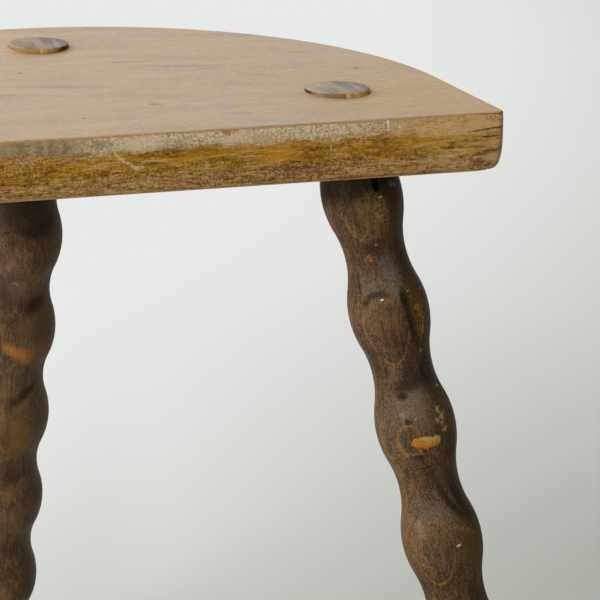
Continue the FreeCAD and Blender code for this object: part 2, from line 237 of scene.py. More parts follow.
class Graph:
    """The node tree of a material or a world, made a node at a time."""

    def __init__(self, owner: bpy.types.Material | bpy.types.World) -> None:
        """Empty the owner's tree."""
        self.owner = owner
        owner.use_nodes = True
        self.tree = owner.node_tree
        self.tree.nodes.clear()

    def node(self, kind: str, inputs: dict[str | int, Any], **settings: Any) -> bpy.types.Node:
        """Add a node.

        Args:
            kind: The node's type, without its ShaderNode prefix.
            inputs: Sockets to link or values to set, by name or number.
            settings: The node's own properties.

        Returns:
            The node.
        """
        made = self.tree.nodes.new(f"ShaderNode{kind}")
        for name, setting in settings.items():
            setattr(made, name, setting)
        for name, value in inputs.items():
            if isinstance(value, Socket):
                self.tree.links.new(value, made.inputs[name])
            else:
                made.inputs[name].default_value = value
        return made

    def math(self, operation: str, *values: Any) -> Socket:
        """Work out a number from one to three others."""
        return self.node("Math", dict(enumerate(values)), operation=operation).outputs[0]

    def vector(self, operation: str, *values: Any) -> Socket:
        """Work out a vector from others."""
        return self.node("VectorMath", dict(enumerate(values)), operation=operation).outputs[0]

    def grow(self, value: Any, factor: Any, more: Any) -> Socket:
        """Multiply a number, then add to it."""
        return self.math("MULTIPLY_ADD", value, factor, more)

    def length(self, vector: Any) -> Socket:
        """Measure how long a vector is."""
        return self.node("VectorMath", {0: vector}, operation="LENGTH").outputs["Value"]

    def parts(self, vector: Any) -> tuple[Socket, Socket, Socket]:
        """Take a vector apart."""
        split = self.node("SeparateXYZ", {0: vector})
        return split.outputs[0], split.outputs[1], split.outputs[2]

    def place(self, vector: Any, at: Any, turn: Any) -> Socket:
        """See a place from a frame of its own, moved and turned."""
        inputs = {"Vector": vector, "Location": at, "Rotation": turn}
        return self.node("Mapping", inputs, vector_type="TEXTURE").outputs[0]

    def flat(self, across: Socket, up: Socket) -> Flat:
        """See a face flat: measures across and up it as X and Z, and as Z and X."""
        straight = self.node("CombineXYZ", {0: across, 2: up}).outputs[0]
        return straight, self.node("CombineXYZ", {0: up, 2: across}).outputs[0]

    def noise(self, vector: Any, stretch: Triple, detail: float, rough: float = 0.55) -> Socket:
        """Read smooth noise, about 0.5 in the middle, with so many lumps to the metre each way."""
        scaled = self.vector("MULTIPLY", vector, stretch)
        inputs = {"Vector": scaled, "Scale": 1.0, "Detail": detail, "Roughness": rough}
        return self.node("TexNoise", inputs).outputs[0]

    def layers(self, along: Socket, scale: float) -> Socket:
        """Read noise along a single measure, as growth rings vary outwards."""
        inputs = {"W": along, "Scale": scale, "Detail": 2.0}
        return self.node("TexNoise", inputs, noise_dimensions="1D").outputs[0]

    def between(self, value: Any, low: float, high: float) -> Socket:
        """Rise smoothly from 0 at the low value to 1 at the high one, or fall if swapped."""
        start, end, ends = (low, high, (0.0, 1.0)) if low < high else (high, low, (1.0, 0.0))
        inputs = {0: value, 1: start, 2: end, 3: ends[0], 4: ends[1]}
        return self.node("MapRange", inputs, interpolation_type="SMOOTHSTEP").outputs[0]

    def times(self, *values: Any) -> Socket:
        """Multiply masks together."""
        product = values[0]
        for value in values[1:]:
            product = self.math("MULTIPLY", product, value)
        return product

    def mix(self, amount: Any, first: Any, second: Any) -> Socket:
        """Go from one colour to another by an amount."""
        return self.node("Mix", {0: amount, 6: first, 7: second}, data_type="RGBA").outputs[2]

    def over(self, base: Any, colour: Any, *masks: Any) -> Socket:
        """Lay a colour over another as far as every mask lets it."""
        return self.mix(self.times(*masks), base, colour)

    def blend(self, amount: Any, first: Any, second: Any) -> Socket:
        """Go from one number to another by an amount."""
        return self.node("Mix", {0: amount, 2: first, 3: second}, data_type="FLOAT").outputs[0]

    def ramp(self, value: Any, stops: Scale) -> Socket:
        """Read a colour off a scale of colours.

        Args:
            value: Where on the scale, 0 to 1.
            stops: Places on the scale and their colours, in order.

        Returns:
            The colour.
        """
        made = self.node("ValToRGB", {0: value})
        scale = made.color_ramp.elements
        while len(scale) < len(stops):
            scale.new(1.0)
        for element, (place, colour) in zip(scale, stops):
            element.position = place
            element.color = colour
        return made.outputs[0]

    def bump(self, height: Socket, depth: float) -> Socket:
        """Turn a height, 0 to 1, into relief of a depth in metres."""
        return self.node("Bump", {"Strength": 1.0, "Distance": depth, "Height": height}).outputs[0]

    def seen(self) -> Socket:
        """Tell rays that see or mirror a thing, 1, from those that carry its light, 0."""
        rays = self.node("LightPath", {}).outputs
        either = self.math("MAXIMUM", rays["Is Camera Ray"], rays["Is Glossy Ray"])
        return self.math("MAXIMUM", either, rays["Is Transmission Ray"])

    def finish(self, **inputs: Any) -> bpy.types.Material:
        """Close the tree with the surface shader.

        Args:
            inputs: The shader's sockets, with spaces written as underscores.

        Returns:
            The finished material.
        """
        named = {name.replace("_", " "): value for name, value in inputs.items()}
        shader = self.node("BsdfPrincipled", named)
        self.node("OutputMaterial", {"Surface": shader.outputs[0]})
        return self.owner


@dataclass(frozen=True)
class Mark:
    """A small blemish on a face seen flat, such as a chip or a stain, in millimetres."""

    across: float
    down: float
    wide: float
    tall: float
    colour: Tint
    strength: float = 1.0
    tilt: float = 0.0
    ragged: float = 0.5
    soft: float = 0.3
    line: float = 0.0
    top: float = 1.0

    def lay(self, graph: Graph, face: Flat, crumble: Socket, base: Socket) -> Socket:
        """Lay the mark over a colour.

        Args:
            graph: The tree to add to.
            face: The place being coloured, on the flat face.
            crumble: Noise that breaks up the mark's edge.
            base: The colour under it.

        Returns:
            The colour with the mark.
        """
        cos, sin = math.cos(self.tilt), math.sin(self.tilt)
        wide, tall = self.wide / 1000, self.tall / 1000
        across, down = self.across / 1000, self.down / 1000
        offset = ((down * sin - across * cos) / wide, 0, -(across * sin + down * cos) / tall)
        if self.tilt:
            slant = (-sin / wide, 0, sin / tall)
            offset = graph.vector("MULTIPLY_ADD", face[1], slant, offset)
        spot = graph.vector("MULTIPLY_ADD", face[0], (cos / wide, 0, cos / tall), offset)
        away = graph.length(spot)
        frayed = graph.grow(crumble, self.ragged, -self.ragged / 2)
        away = graph.math("ADD", away, frayed)
        if self.line:
            off_line = graph.math("ABSOLUTE", graph.math("SUBTRACT", away, 1.0))
            cover = graph.between(off_line, self.line, self.line * 0.4)
            cover = graph.times(cover, graph.between(crumble, 1.0, 0.3))
            if self.top < 1:
                lower = graph.between(graph.parts(spot)[2], 0.6, -0.5)
                cover = graph.times(cover, graph.grow(lower, 1 - self.top, self.top))
        else:
            cover = graph.between(away, 1.0 + self.soft, 1.0 - self.soft)
        return graph.over(base, self.colour, cover, self.strength)


Marks = tuple[Mark, ...]


def marks(*rows: tuple[Any, ...]) -> Marks:
    """Make marks out of rows of their fields, from across to top, in the order they are laid."""
    return tuple(Mark(*row) for row in rows)


def lay_marks(graph: Graph, some: Marks, face: Flat, crumble: Socket, base: Socket) -> Socket:
    """Lay marks one over another.

    Args:
        graph: The tree to add to.
        some: The marks, the lowest first.
        face: The place being coloured, on the flat face.
        crumble: Noise that breaks up the marks' edges.
        base: The colour under them.

    Returns:
        The colour with the marks.
    """
    for mark in some:
        base = mark.lay(graph, face, crumble, base)
    return base


@dataclass(frozen=True)
class SeatWood:
    """A pale scrubbed top, lightened by a painted sheen, over edges that keep their old amber
    varnish.
    """

    low: Vector
    high: Vector
    legs: "list[Leg]"
    grain_turn: float = -0.19
    # The top's colours are raised a little as a painted sheen, for the bright room mirrored in the
    # top
    top: Tint = tint(187, 166, 141)
    top_warm: Tint = tint(197, 167, 132)
    top_grey: Tint = tint(160, 148, 137)
    top_pale: Tint = tint(208, 192, 168)
    top_corner: Tint = tint(188, 156, 112)
    pore: Tint = tint(112, 88, 66)
    # Colour of the painted reflection of the tenon walls in the top
    halo: Tint = tint(172, 134, 84)
    arris: Tint = tint(202, 146, 86)
    cream: Tint = tint(238, 216, 178)
    worn: Tint = tint(212, 188, 150)
    worn_grey: Tint = tint(166, 146, 116)
    tan: Tint = tint(200, 162, 106)
    end: Tint = tint(228, 184, 124)
    gold: Tint = tint(184, 134, 36)
    amber: Tint = tint(152, 104, 20)
    umber: Tint = tint(96, 66, 30)
    brown: Tint = tint(160, 115, 59)

    def material(self) -> bpy.types.Material:
        """Make the seat's material."""
        graph = Graph(bpy.data.materials.new("seat_wood"))
        where = graph.node("TexCoord", {}).outputs["Object"]
        crumble = graph.between(graph.noise(where, (800, 800, 800), 3, 0.6), 0.36, 0.64)
        fibres = graph.noise(where, (60, 1500, 1500), 3, 0.6)
        top = self.upper(graph, where, fibres, crumble)
        side = self.side(graph, where, crumble)
        up = graph.parts(where)[2]
        is_top = graph.between(up, self.high.z - 0.0009, self.high.z - 0.0005)
        colour = graph.mix(is_top, side, top)
        patches = graph.noise(where, (12, 60, 60), 3)
        gloss = graph.blend(graph.between(patches, 0.3, 0.7), 0.36, 0.5)
        relief = graph.grow(crumble, 0.4, fibres)
        return graph.finish(
            Base_Color=colour,
            Roughness=gloss,
            Normal=graph.bump(relief, 0.00010),
            Specular_IOR_Level=0.12,
        )

    def upper(self, graph: Graph, where: Socket, fibres: Socket, crumble: Socket) -> Socket:
        """Colour the scrubbed top in fine streaks along the board.

        Args:
            graph: The tree to add to.
            where: The place being coloured.
            fibres: Noise as fine as the wood's fibres.
            crumble: Noise that breaks up the marks' edges.

        Returns:
            The colour.
        """
        across, along = graph.parts(where)[:2]
        board = graph.place(where, (0, 0, 0), (0, 0, self.grain_turn))
        aside = graph.vector("ADD", board, (3.7, 1.3, 0.0))
        streaks = graph.noise(board, (26, 420, 420), 5, 0.75)
        colour = graph.mix(graph.between(streaks, 0.42, 0.60), self.top, self.top_warm)
        grey = graph.between(graph.noise(aside, (16, 80, 60), 3, 0.6), 0.45, 0.64)
        broken = graph.noise(aside, (110, 700, 700), 4, 0.75)
        grey = graph.times(grey, graph.between(broken, 0.40, 0.58))
        colour = graph.over(colour, self.top_grey, grey, 0.65)
        corner = graph.times(graph.between(across, 0.06, 0.2), graph.between(along, 0.01, -0.14))
        colour = graph.over(colour, self.top_corner, corner, 0.85)
        pale = graph.between(graph.noise(board, (190, 640, 640), 4, 0.75), 0.54, 0.66)
        colour = graph.over(colour, self.top_pale, pale, 0.7)
        pores = graph.between(graph.noise(aside, (170, 1000, 1000), 4, 0.75), 0.55, 0.66)
        colour = graph.over(colour, self.pore, pores, 0.42)
        colour = graph.over(colour, self.pore, graph.between(fibres, 0.48, 0.3), 0.3)
        for leg in self.legs:
            colour = self.round_tenon(graph, where, leg, colour)
        face = graph.flat(across, along)
        return lay_marks(graph, top_marks(), face, crumble, colour)

    def round_tenon(self, graph: Graph, where: Socket, leg: "Leg", base: Socket) -> Socket:
        """Paint a reflection of a tenon's wall in the top round it, strongest in front, and dirt in
        the joint.

        Args:
            graph: The tree to add to.
            where: The place being coloured.
            leg: The leg that the tenon belongs to.
            base: The colour of the bare top.

        Returns:
            The colour.
        """
        place = graph.place(where, leg.top, (0, -leg.splay, leg.turn))
        away = graph.length(graph.vector("MULTIPLY", place, (1, 1, 0)))
        edge = leg.tenon_diameter / 2
        # Painted reflection of the tenon's wall in the glossy top: faint all round, stronger in front
        ahead = graph.between(graph.parts(where)[1], leg.top.y - edge * 0.4, leg.top.y - edge)
        strength = graph.grow(ahead, leg.halo, 0.1)
        cover = graph.times(graph.between(away, edge + 0.007, edge + 0.0035), strength)
        colour = graph.mix(cover, base, self.halo)
        return graph.over(colour, self.umber, graph.between(away, edge + 0.0009, edge), 0.35)

    def side(self, graph: Graph, where: Socket, crumble: Socket) -> Socket:
        """Colour the board's edge in its wavy bands, from the arris down.

        Args:
            graph: The tree to add to.
            where: The place being coloured.
            crumble: Noise that breaks up the marks' edges.

        Returns:
            The colour.
        """
        across, along, up = graph.parts(where)
        front, side = self.low.y, self.high.x
        below = graph.math("SUBTRACT", self.high.z, up)
        depth = graph.math("DIVIDE", below, self.high.z - self.low.z)
        wave = graph.grow(graph.noise(where, (15, 15, 30), 3), 0.30, -0.15)
        fray = graph.grow(graph.noise(where, (90, 90, 520), 4, 0.65), 0.36, -0.18)
        wavy = graph.math("ADD", depth, graph.math("ADD", wave, fray))

        grain = graph.noise(where, (55, 55, 520), 4, 0.7)
        fine = graph.noise(where, (330, 330, 1300), 3, 0.7)
        blotch = graph.noise(where, (34, 34, 90), 4, 0.6)
        mixed = graph.grow(fine, 0.5, graph.math("MULTIPLY", grain, 0.5))
        grainy = graph.grow(crumble, 0.10, graph.math("SUBTRACT", mixed, 0.05))

        gold = graph.ramp(
            graph.grow(blotch, 0.45, graph.math("SUBTRACT", grainy, 0.225)),
            ((0.36, self.umber), (0.45, self.amber), (0.54, self.gold), (0.66, self.tan)),
        )
        brown = graph.ramp(grainy, ((0.37, self.umber), (0.48, self.brown), (0.60, self.tan)))
        dull = graph.times(graph.between(along, front + 0.01, front + 0.05), 0.6)
        dull = graph.math("MAXIMUM", graph.between(wavy, 0.56, 0.80), dull)
        colour = graph.mix(dull, gold, brown)

        flaky = graph.noise(where, (700, 700, 1700), 4, 0.8)
        worn = graph.ramp(
            graph.grow(crumble, 0.10, graph.times(flaky, 0.9)),
            ((0.35, self.brown), (0.42, self.worn_grey), (0.48, self.worn), (0.56, self.cream)),
        )
        # The pale band under the arris: partly worn, flaking varnish, partly a painted reflection of
        # the bright room
        span = graph.times(graph.between(across, -0.03, -0.012), graph.between(across, 0.17, 0.12))
        span = graph.grow(span, 0.8, graph.times(graph.between(blotch, 0.35, 0.6), 0.15))
        cover = graph.times(graph.between(wavy, 0.34, 0.20), span)
        dim = graph.times(graph.between(wavy, 0.38, 0.2), graph.between(across, -0.006, -0.03), 0.7)
        colour = graph.mix(dim, colour, self.worn_grey)
        colour = graph.mix(cover, colour, worn)

        end = graph.times(graph.between(across, 0.12, 0.17), graph.between(wavy, 0.42, 0.30))
        end = graph.times(end, graph.blend(graph.between(fine, 0.36, 0.60), 0.45, 0.95))
        colour = graph.mix(end, colour, self.end)
        end = graph.times(graph.between(across, 0.155, 0.198), graph.between(grainy, 0.46, 0.54))
        colour = graph.over(colour, self.tan, end, 0.45)
        dashes = graph.between(graph.noise(where, (170, 170, 900), 2), 0.62, 0.7)
        colour = graph.over(colour, self.worn, dashes, 0.6)
        dark = graph.between(graph.noise(where, (110, 110, 1000), 3, 0.6), 0.38, 0.28)
        colour = graph.over(colour, self.umber, dark, 0.75)
        foot = graph.between(graph.math("ADD", depth, graph.times(fray, 0.2)), 0.93, 0.97)
        colour = graph.over(colour, self.arris, foot, 0.4)
        edge = graph.math("ADD", depth, graph.times(fray, 0.10))
        arris = graph.times(graph.between(edge, 0.048, 0.040), graph.between(across, 0.20, 0.16))
        colour = graph.over(colour, self.arris, arris, 0.9)
        aside = graph.math("ABSOLUTE", across)
        corner = graph.between(aside, side - 0.004, side - 0.001)
        corner = graph.times(corner, graph.between(along, front + 0.009, front + 0.003))
        colour = graph.over(colour, self.end, corner, crumble, 0.5)
        face = graph.flat(across, graph.math("MULTIPLY", below, -1.0))
        marked = lay_marks(graph, front_marks(), face, crumble, colour)
        is_front = graph.between(along, front + 0.006, front + 0.004)
        return graph.mix(is_front, colour, marked)


def top_marks() -> Marks:
    """List the dents and dots on the seat's top."""
    soot, smoke, grey = tint(80, 62, 46), tint(112, 94, 76), tint(134, 122, 112)
    gold = tint(204, 164, 106)
    return marks(
        (-13.5, -45.5, 20, 2.2, grey, 0.45, 0.19, 1.2, 0.6),
        (-39.5, -57.5, 6, 1.2, smoke, 0.5, 0.19, 1.2, 0.5),
        (64.5, -15.2, 20, 1.6, grey, 0.5, 0.19, 1.2, 0.6),
        (98, -42.5, 9, 1.4, grey, 0.5, 0.19, 1.2, 0.6),
        (36, -0.4, 8, 1.4, smoke, 0.35, 0.19, 1.2, 0.6),
        (137.4, 1.2, 7, 2.6, grey, 0.35, 0.19, 1.2, 0.6),
        (66, -119.4, 7, 2.2, grey, 0.4, 0.19, 1.2, 0.6),
        (112, 10.5, 16, 1.6, gold, 0.6, -0.1, 1.2, 0.6),
        (-12.2, -111.7, 0.8, 1.3, soot, 0.8),
        (-23.1, -12.9, 1.2, 1.6, soot, 0.5),
        (29.2, -92.3, 2.6, 2.2, smoke, 0.5, 0, 1),
        (31.5, -95, 3, 0.8, smoke, 0.5, 0, 1),
        (155.5, -41.5, 1.8, 1.8, soot, 0.5),
    )


def front_marks() -> Marks:
    """List the scratches, flecks and checks on the seat's front edge."""
    white, bare, soot = tint(240, 236, 226), tint(216, 190, 142), tint(66, 48, 32)
    smoke, grey, rust = tint(110, 94, 72), tint(142, 128, 106), tint(110, 70, 36)
    cream, light, gold = tint(232, 208, 176), tint(206, 172, 124), tint(206, 142, 28)
    amber, umber, plum = tint(186, 126, 62), tint(88, 58, 26), tint(112, 78, 54)
    olive = tint(104, 78, 14)
    return marks(
        (-52, -5.5, 3, 5, smoke, 0.45, 0, 1.1, 0.7),
        (-43, -5.5, 1.8, 4.5, smoke, 0.5, 0, 1.1, 0.7),
        (-37, -5, 1.6, 4.5, smoke, 0.5, 0, 1.1, 0.7),
        (-30, -5, 2, 4, smoke, 0.45, 0, 1.1, 0.7),
        (-12, -4.5, 6, 2.2, grey, 0.6, 0, 1.1, 0.6),
        (10, -4.5, 7.5, 2.2, cream, 0.6, 0, 2, 0.5),
        (28, -5.5, 7.5, 3, grey, 0.3, 0, 1.6, 0.6),
        (56, -5, 4, 3.2, cream, 0.5, -0.3, 2.2, 0.4),
        (52, -1.9, 4.5, 1.5, amber, 0.85, -0.1, 1.4),
        (62, -7, 6, 1.6, light, 0.6, -0.2, 2.2, 0.4),
        (76, -6, 9, 1.2, light, 0.4, -0.1, 2.2, 0.4),
        (72, -13.5, 15, 3.4, gold, 0.4, -0.12, 1.6, 0.6),
        (77, -16, 8, 2.4, gold, 0.7, -0.1, 1.4, 0.5),
        (34, -14.5, 9, 2, gold, 0.5, -0.1, 1.8, 0.6),
        (122, -15, 20, 2, gold, 0.2, -0.05, 1.8, 0.6),
        (50, -16.2, 15, 1.1, olive, 0.7, -0.06, 1.6, 0.4),
        (62, -18.2, 9, 0.8, olive, 0.6, -0.1, 1.6, 0.4),
        (22, -19.5, 8, 1, olive, 0.5, -0.1, 1.8, 0.4),
        (108, -13, 12, 1, olive, 0.5, -0.1, 1.8, 0.4),
        (100, -18, 14, 0.9, olive, 0.5, -0.16, 1.8, 0.4),
        (-46, -14.5, 8, 3, umber, 0.35, 0, 2.2, 0.6),
        (-14, -20, 9, 1.4, umber, 0.5, -0.1, 2, 0.5),
        (48, -25.5, 9, 1.6, umber, 0.5, -0.1, 2, 0.5),
        (91, -24.5, 16, 3.6, plum, 0.5, -0.05, 1.8, 0.6),
        (112, -20, 30, 1, umber, 0.5, -0.12, 2, 0.5),
        (-5.2, -8.8, 2.6, 0.5, bare, 0.7, 1.1, 0.9),
        (-2.4, -12.3, 2.8, 0.75, bare, 0.8, 0.73, 1.2, 0.5),
        (1, -14.6, 2.4, 0.5, bare, 0.75, 0.45, 1),
        (4.4, -16.6, 3.2, 0.75, bare, 0.75, 0.5, 1.4),
        (7.4, -17.9, 1.8, 1, bare, 0.7, -0.3, 1.6, 0.4),
        (-7, -14.2, 9, 0.3, bare, 0.5, 0, 0.6),
        (15, -14.2, 7.5, 0.3, bare, 0.7),
        (64, -15.1, 6.5, 0.32, bare, 0.7, 0, 0.4),
        (79, -13.5, 6, 0.28, bare, 0.45, 0, 0.4),
        (42, -18.2, 0.9, 1.8, bare, 0.45, 0, 1.6),
        (43, -20.2, 8, 0.3, bare, 0.5),
        (14.5, -23.5, 2.4, 3, bare, 0.5, 0.6, 0.4, 0.3, 0.2),
        (106.8, -13, 0.4, 1.8, light, 0.7, 0, 0.4),
        (97, -27, 0.4, 3.2, soot, 0.5),
        (137, -2, 0.65, 1.1, white, 1, 0, 0.4),
        (137.3, -4.1, 0.45, 1, white, 0.9),
        (137.4, -6, 0.4, 0.5, white, 0.7),
        (143.4, -5, 0.55, 0.5, white, 0.9, 0, 0.3),
        (170, -17.2, 6, 0.6, rust, 0.7, 0, 0.9),
        (178, -18.8, 9, 0.5, light, 0.8, 0, 0.9),
        (158, -10.5, 6, 0.6, light, 0.7, 0, 0.9),
        (176, -11.5, 5, 1.2, light, 0.5, 0, 1.6),
        (164, -12.5, 14, 2.2, gold, 0.45, -0.08, 1.8, 0.6),
        (193, -10.3, 8, 1.8, smoke, 0.35, 0, 0.9, 0.5),
        (192, -8.6, 10, 0.55, soot, 0.85, -0.1, 0.4),
        (193.5, -12.6, 4.8, 0.55, soot, 0.85),
        (196, -16, 4, 2.2, light, 0.5, 0, 0.9),
        (195, -20.3, 5.5, 1.1, rust, 0.7, -0.1, 1.2),
        (195, -23.8, 5, 1.8, light, 0.7, 0, 0.9),
        (183, -26, 5, 1, smoke, 0.35, 0, 1.6),
        (196, -3.6, 3.6, 1.3, smoke, 0.6, 0, 1.6),
        (186, -5.5, 9, 0.8, light, 0.6, -0.15, 1.8, 0.4),
        (176, -8, 11, 0.6, light, 0.6, 0.05, 1.8, 0.4),
        (160, -14.5, 9, 0.5, light, 0.6, -0.1, 1.6, 0.4),
        (184, -16, 7, 0.5, light, 0.6, 0.1, 1.6, 0.4),
        (172, -21.5, 8, 0.6, bare, 0.5, -0.1, 1.8, 0.4),
        (160, -24, 7, 0.7, bare, 0.5, 0.05, 1.8, 0.4),
        (198.5, -3, 0.9, 0.9, white, 0.5),
        (195, -0.9, 8, 0.4, rust, 0.7, 0, 0.8),
        (120, -30, 60, 0.4, rust, 0.5, 0, 0.9),
    )


@dataclass(frozen=True)
class LegWood:
    """Dark brown varnish over turned wood, worn amber on the beads, grimy between, with painted
    shade.
    """

    leg: "Leg"
    light: Tint = tint(126, 97, 70)
    brown: Tint = tint(86, 65, 44)
    dark: Tint = tint(52, 39, 29)
    gold: Tint = tint(146, 112, 66)
    grime: Tint = tint(48, 36, 31)
    soot: Tint = tint(26, 22, 18)
    olive: Tint = tint(98, 74, 34)
    shade: Tint = tint(58, 42, 22)
    speck: Tint = tint(206, 196, 172)

    def material(self) -> bpy.types.Material:
        """Make one leg's material."""
        leg = self.leg
        graph = Graph(bpy.data.materials.new(f"leg_wood_{leg.name}"))
        world = graph.node("TexCoord", {}).outputs["Object"]
        where = graph.place(world, leg.top, (0, -leg.splay, leg.turn))
        grain = graph.noise(where, (1300, 1300, 800), 3, 0.7)
        fibres = graph.noise(where, (800, 800, 70), 4, 0.65)
        colour = self.figure(graph, where, grain, fibres)
        crumble = graph.between(graph.noise(where, (1000, 1000, 700), 3, 0.65), 0.36, 0.64)
        colour = lay_marks(graph, leg.marks, self.unrolled(graph, where), crumble, colour)
        colour = self.specks(graph, where, colour)
        colour = self.tenon(graph, world, fibres, colour)
        turning = graph.noise(where, (12, 12, 1500), 2)
        relief = graph.grow(turning, 0.3, graph.grow(grain, 0.6, fibres))
        patches = graph.noise(where, (70, 70, 40), 3)
        gloss = graph.blend(graph.between(patches, 0.35, 0.65), 0.42, 0.58)
        return graph.finish(
            Base_Color=colour,
            Roughness=gloss,
            Normal=graph.bump(relief, 0.00012),
            Specular_IOR_Level=0.06,
        )

    def unrolled(self, graph: Graph, where: Socket) -> Flat:
        """See the leg's skin flat: X round it from its front, Z up it.

        Args:
            graph: The tree to add to.
            where: The place being coloured, in the leg's own frame.

        Returns:
            The place on the flat skin.
        """
        ahead, aside, up = graph.parts(graph.place(where, (0, 0, 0), (0, 0, self.leg.front)))
        around = graph.math("MULTIPLY", graph.math("ARCTAN2", aside, ahead), self.leg.bead_radius)
        return graph.flat(around, up)

    def figure(self, graph: Graph, where: Socket, grain: Socket, fibres: Socket) -> Socket:
        """Colour the turned wood: growth rings, stain, wear on beads, grime between and painted
        shade.

        Args:
            graph: The tree to add to.
            where: The place being coloured, in the leg's own frame.
            grain: Noise as fine as the wood's pores.
            fibres: Noise as fine as its fibres.

        Returns:
            The colour.
        """
        leg = self.leg
        up = graph.parts(where)[2]
        radius = graph.length(graph.vector("MULTIPLY", where, (1, 1, 0)))
        swell = graph.between(radius, leg.cove_radius - 0.001, leg.bead_radius)
        blotch = graph.noise(where, (60, 60, 36), 4, 0.6)
        middle = graph.place(where, leg.beside(-leg.pith_distance), (0.03, 0.09, leg.front))
        rings = graph.length(graph.vector("MULTIPLY", middle, (1, 1, 0)))
        wander = graph.noise(where, (45, 45, 25), 3)
        bands = graph.layers(graph.grow(wander, 0.0024, rings), 480)

        spread = 0.3 + 0.7 * leg.speckle
        tone = 0.27 - spread / 2 + leg.tone
        for pattern, share in ((fibres, 0.3), (grain, spread), (blotch, 0.3), (bands, 0.1)):
            tone = graph.grow(pattern, share, tone)
        stops = ((0.50, self.dark), (0.60, self.brown), (0.69, self.light), (0.80, self.gold))
        colour = graph.ramp(tone, stops)
        colour = graph.over(colour, self.olive, graph.between(blotch, 0.52, 0.7), 0.4)
        seam = graph.between(graph.math("ABSOLUTE", graph.math("SUBTRACT", bands, 0.5)), 0.03, 0.01)
        seam = graph.times(seam, swell, graph.between(grain, 0.42, 0.56))
        colour = graph.over(colour, self.gold, seam, 0.35)
        # Painted shade down the side of the leg turned away from the lamps
        sheltered = graph.between(graph.parts(middle)[1], -0.002, 0.018)
        colour = graph.over(colour, self.shade, sheltered, leg.shelter)
        fleck = graph.noise(where, (1000, 1000, 800), 4, 0.8)
        bright, deep = graph.between(fleck, 0.57, 0.68), graph.between(fleck, 0.44, 0.34)
        colour = graph.over(colour, self.gold, bright, leg.speckle)
        colour = graph.over(colour, self.dark, deep, leg.speckle * 0.6)
        hollow = graph.times(graph.math("SUBTRACT", 1.0, swell), graph.between(blotch, 0.68, 0.40))
        colour = graph.over(colour, self.grime, hollow, 0.42)
        # Painted shade under the seat, with some soot: full from the seat down half its reach, then
        # fading out
        start = -leg.shoulder - leg.soot_reach
        under = graph.between(up, start, start + leg.soot_reach / 2)
        return graph.over(colour, self.soot, under, leg.soot)

    def specks(self, graph: Graph, where: Socket, base: Socket) -> Socket:
        """Scatter a few tiny pale specks of limewash or paint over a colour."""
        cells = graph.node("TexVoronoi", {"Vector": where, "Scale": 85.0})
        chosen = graph.between(graph.parts(cells.outputs["Color"])[0], 0.80, 0.82)
        dot = graph.between(cells.outputs["Distance"], 0.045, 0.025)
        return graph.over(base, self.speck, dot, chosen, 0.8)

    def tenon(self, graph: Graph, world: Socket, fibres: Socket, base: Socket) -> Socket:
        """Colour the tenon where it stands above the seat: its wall and its trimmed end.

        Args:
            graph: The tree to add to.
            world: The place being coloured, in the stool's frame.
            fibres: Noise as fine as the wood's fibres.
            base: The colour of the rest of the leg.

        Returns:
            The colour.
        """
        leg = self.leg
        across = graph.math("SUBTRACT", graph.parts(world)[0], leg.top.x)
        around = graph.grow(across, 1 / leg.tenon_diameter, 0.5)
        around = graph.grow(fibres, 0.12, graph.math("SUBTRACT", around, 0.06))
        wall = graph.ramp(around, leg.wall)
        sawn = graph.place(world, leg.top, (0, 0, leg.kerf_turn))
        beyond = graph.between(graph.parts(sawn)[0], -0.001, 0.001)
        end = graph.mix(beyond, leg.end_left, leg.end_right)
        stain = graph.noise(sawn, (160, 45, 100), 4, 0.65)
        end = graph.over(end, self.brown, graph.between(stain, 0.50, 0.36), 0.35)
        end = graph.over(end, self.speck, graph.between(stain, 0.54, 0.68), 0.35)
        end = graph.mix(leg.trimmed(graph, world), wall, end)
        is_above = graph.between(graph.parts(world)[2], leg.top.z - 0.0004, leg.top.z)
        return graph.mix(is_above, base, end)


@dataclass(frozen=True)
class WedgeWood:
    """Bare light wood, greyed where its top is trimmed."""

    leg: "Leg"
    bare: Tint = tint(236, 192, 132)
    streak: Tint = tint(198, 152, 92)

    def material(self) -> bpy.types.Material:
        """Make one wedge's material."""
        leg = self.leg
        graph = Graph(bpy.data.materials.new(f"wedge_wood_{leg.name}"))
        where = graph.node("TexCoord", {}).outputs["Object"]
        fibres = graph.noise(where, (900, 500, 60), 3)
        colour = graph.mix(graph.between(fibres, 0.35, 0.65), self.streak, self.bare)
        end = graph.over(leg.end_wedge, self.streak, graph.between(fibres, 0.55, 0.35), 0.35)
        colour = graph.mix(leg.trimmed(graph, where), colour, end)
        return graph.finish(
            Base_Color=colour,
            Roughness=graph.blend(fibres, 0.45, 0.65),
            Normal=graph.bump(fibres, 0.0001),
            Specular_IOR_Level=0.06,
        )


# The stool's pieces


